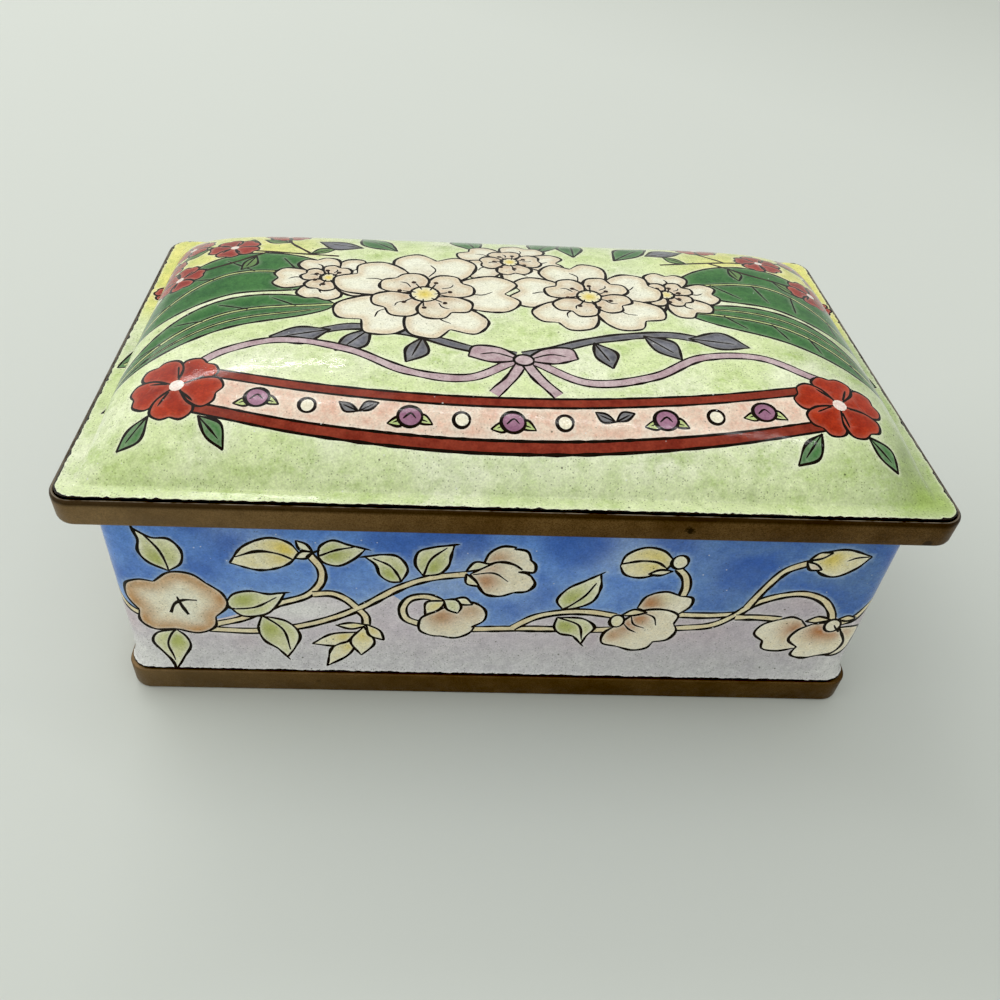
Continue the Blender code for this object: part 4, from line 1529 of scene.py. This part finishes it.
def bronze(name):
    """Brown lacquered metal with painted light: a painted sheen to the left, painted shade to the right and
    on the foot band, a painted dark reflection on the shoulder under a painted highlight along the crest;
    spots and a blemish.
    """
    n = Nodes(bpy.data.materials.new(name))
    across_box, _, height = n.axes()
    left, right = -HALF_X * MM, HALF_X * MM
    colour = n.mix(n.range(n.noise(170, 4), 0.35, 0.68), rgba(138, 105, 64), rgba(106, 76, 42))
    colour = n.mix(n.range(n.noise(5200, 2, 0.8), 0.36, 0.74, 0.0, 0.85), colour, rgba(62, 42, 18))
    # Painted sheen: paler towards the left end.
    colour = n.mix(n.range(across_box, left, -0.005, 0.34, 0.0), colour, rgba(158, 138, 106))
    # Painted shade: darker towards the right end.
    colour = n.shade(colour, n.range(across_box, left, right, 0.98, 0.66))
    # Painted shade: darker towards the bottom, so the foot band is darker than the lid band.
    colour = n.shade(colour, n.range(height, 0.0, BAND_LOW * MM, 0.86, 1.0))
    # Painted dark reflection on the band's rounded shoulder below the crest.
    shoulder = n.range(height, (BAND_CREST - 1.0) * MM, (BAND_CREST - 0.5) * MM, 0.0, 0.75)
    colour = n.mix(shoulder, colour, rgba(26, 13, 6))
    # Painted highlight: a pale line along the band's crest.
    crest_highlight = n.range(height, (BAND_CREST - 0.1) * MM, (BAND_CREST - 0.04) * MM, 0.0, 0.75)
    colour = n.mix(n.times(crest_highlight, n.range(n.noise(420, 3), 0.35, 0.6)), colour, rgba(150, 138, 122))
    colour = n.speckle(colour, 240, 0.2, 0.08, 0.8, (46, 34, 24))
    away = n.add("ShaderNodeVectorMath", _0=n.place, _1=BLEMISH)
    away.operation = "DISTANCE"
    ragged = n.math("ADD", away.outputs["Value"], n.times(n.noise(1600, 3, 0.8), 0.0026))
    colour = n.mix(n.range(ragged, 0.0021, 0.0017, 0.0, 0.9), colour, rgba(24, 14, 8))
    n.bump((n.noise(4200, 2, 0.8), 0.00003), (n.noise(240, 3), 0.00008))
    return n.finish(Base_Color=colour, Metallic=0.7, Roughness=n.range(n.noise(900, 3), 0.3, 0.7, 0.38, 0.56))


def table_top(name):
    """A pale grey-green table with painted shade: a little darker towards the near right and the far right.
    """
    n = Nodes(bpy.data.materials.new(name))
    x, y, _ = n.axes()
    # Painted shade: darker towards the near right.
    near = n.math("SUBTRACT", x, n.times(y, 1.6))
    colour = n.mix(n.range(near, 0.02, 0.25), rgba(213, 216, 210), rgba(199, 202, 196))
    # Painted shade: darker towards the far right.
    colour = n.mix(n.range(n.math("ADD", x, y), 0.4, 0.8, 0.0, 0.8), colour, rgba(198, 201, 194))
    return n.finish(Base_Color=colour, Roughness=0.75, IOR=1.3)


# The pieces.

LID_GLAZE, WALL_GLAZE = glaze("lid_glaze"), glaze("wall_glaze")
LINING = counter_enamel("counter_enamel")
BRONZE = bronze("bronze_satin")


def dress(piece, node, materials):
    for material in materials:
        piece.data.materials.append(material)
    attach(piece, "root")
    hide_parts(node)


def any_edge(edge):
    """The lid's border is all edge."""
    return True


def runs_along(edge):
    """Whether an edge of the border runs along the walls: the upright ones meet at the seam."""
    return abs(edge[0][0] - edge[1][0]) > 1e-6


lid_sheet = cut_sheet(lid_picture(), rounded_outline(LID_HALF, LID_RADIUS, 10, 0.9), lid_grid(0.8, 0.36))
lid = painted_piece("lid_enamel_shell", lid_sheet, lid_places, lid_backs, lid_grid(2.4, 0.7), any_edge)
dress(lid, "lid_shell", (LID_GLAZE, LINING))

wall_sheet = cut_sheet(wall_picture(), wall_domain(), wall_grid(0.75))
walls = painted_piece("enamel_walls", wall_sheet, wall_places, wall_backs, wall_grid(1.3), runs_along)
dress(walls, "body_walls", (WALL_GLAZE, LINING))

lid_ring = sweep("lid_bronze_band", LID_BAND_PROFILE, HALF, BAND_RADIUS, BRONZE)
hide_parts("lid_band")
foot_ring = sweep("foot_bronze_band", FOOT_BAND_PROFILE, HALF - FOOT_INSET, FOOT_RADIUS, BRONZE)
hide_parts("foot_band")
for holder in bpy.data.objects["base_plate"].material_slots:
    holder.material = LINING


# The table, the light and the camera.

TABLE_REACH = 9.0
mesh = bpy.data.meshes.new("table")
mesh.from_pydata([(x * TABLE_REACH, y * TABLE_REACH, 0) for x, y in ((-1, -1), (1, -1), (1, 1), (-1, 1))], [],
                 [(0, 1, 2, 3)])
table = linked("table", mesh)
table.data.materials.append(table_top("pale_table"))

BOX_CENTRE = Vector((0.0, 0.0, 0.03))


def area_light(name, place, size, power, colour=(1.0, 1.0, 1.0)):
    """A soft light at a place, turned to the box; size is its width and height, power in watts."""
    lamp = bpy.data.lights.new(name, "AREA")
    lamp.shape = "RECTANGLE"
    lamp.size, lamp.size_y = size
    lamp.energy = power
    lamp.color = colour
    made = linked(name, lamp)
    made.location = place
    made.rotation_euler = (BOX_CENTRE - Vector(place)).to_track_quat("-Z", "Y").to_euler()


area_light("window", (-1.05, 0.5, 1.15), (1.9, 1.9), 9.8, (1.0, 1.0, 0.96))
area_light("back_strip", (-0.40, 0.85, 0.93), (0.5, 0.03), 1.3)
area_light("top_strip", (0.15, 0.25, 1.2), (1.2, 0.02), 1.6)

# The room is brighter in front of the box and above it than behind.
ROOM_FRONT, ROOM_BACK, ROOM_ABOVE = 0.65, 0.50, 0.67
BLACK_POINT = 0.012
room = Nodes(bpy.data.worlds.new("pale_room"), "Background", "Generated")
_, depth, lift = room.axes()
strength = room.math("ADD", room.range(depth, -0.7, 0.7, ROOM_FRONT, ROOM_BACK),
                     room.range(lift, 0.0, 1.0, 0.0, ROOM_ABOVE - ROOM_BACK))
scene = bpy.context.scene
scene.world = room.finish(Color=(0.97, 1.0, 0.97, 1.0), Strength=strength)
tone = scene.view_settings
tone.view_transform = "Standard"
tone.use_curve_mapping = True
tone.curve_mapping.black_level = [BLACK_POINT] * 3
tone.curve_mapping.update()

CAMERA_PLACE = (-0.01171, -0.12318, 0.12502)
YAW, PITCH, ROLL = (math.radians(angle) for angle in (2.481, 42.496, 3.187))
lens = bpy.data.cameras.new("camera")
lens.lens = 31.32
lens.sensor_width = 36.0
lens.shift_x = 0.045
lens.clip_start = 0.01
camera = linked("camera", lens)
ahead = Vector((math.sin(YAW) * math.cos(PITCH), math.cos(YAW) * math.cos(PITCH), -math.sin(PITCH)))
level = Vector((math.cos(YAW), -math.sin(YAW), 0.0))
upward = level.cross(ahead)
right = level * math.cos(ROLL) + upward * math.sin(ROLL)
above = upward * math.cos(ROLL) - level * math.sin(ROLL)
camera.matrix_world = Matrix.Translation(CAMERA_PLACE) @ Matrix((right, above, -ahead)).transposed().to_4x4()
scene.camera = camera
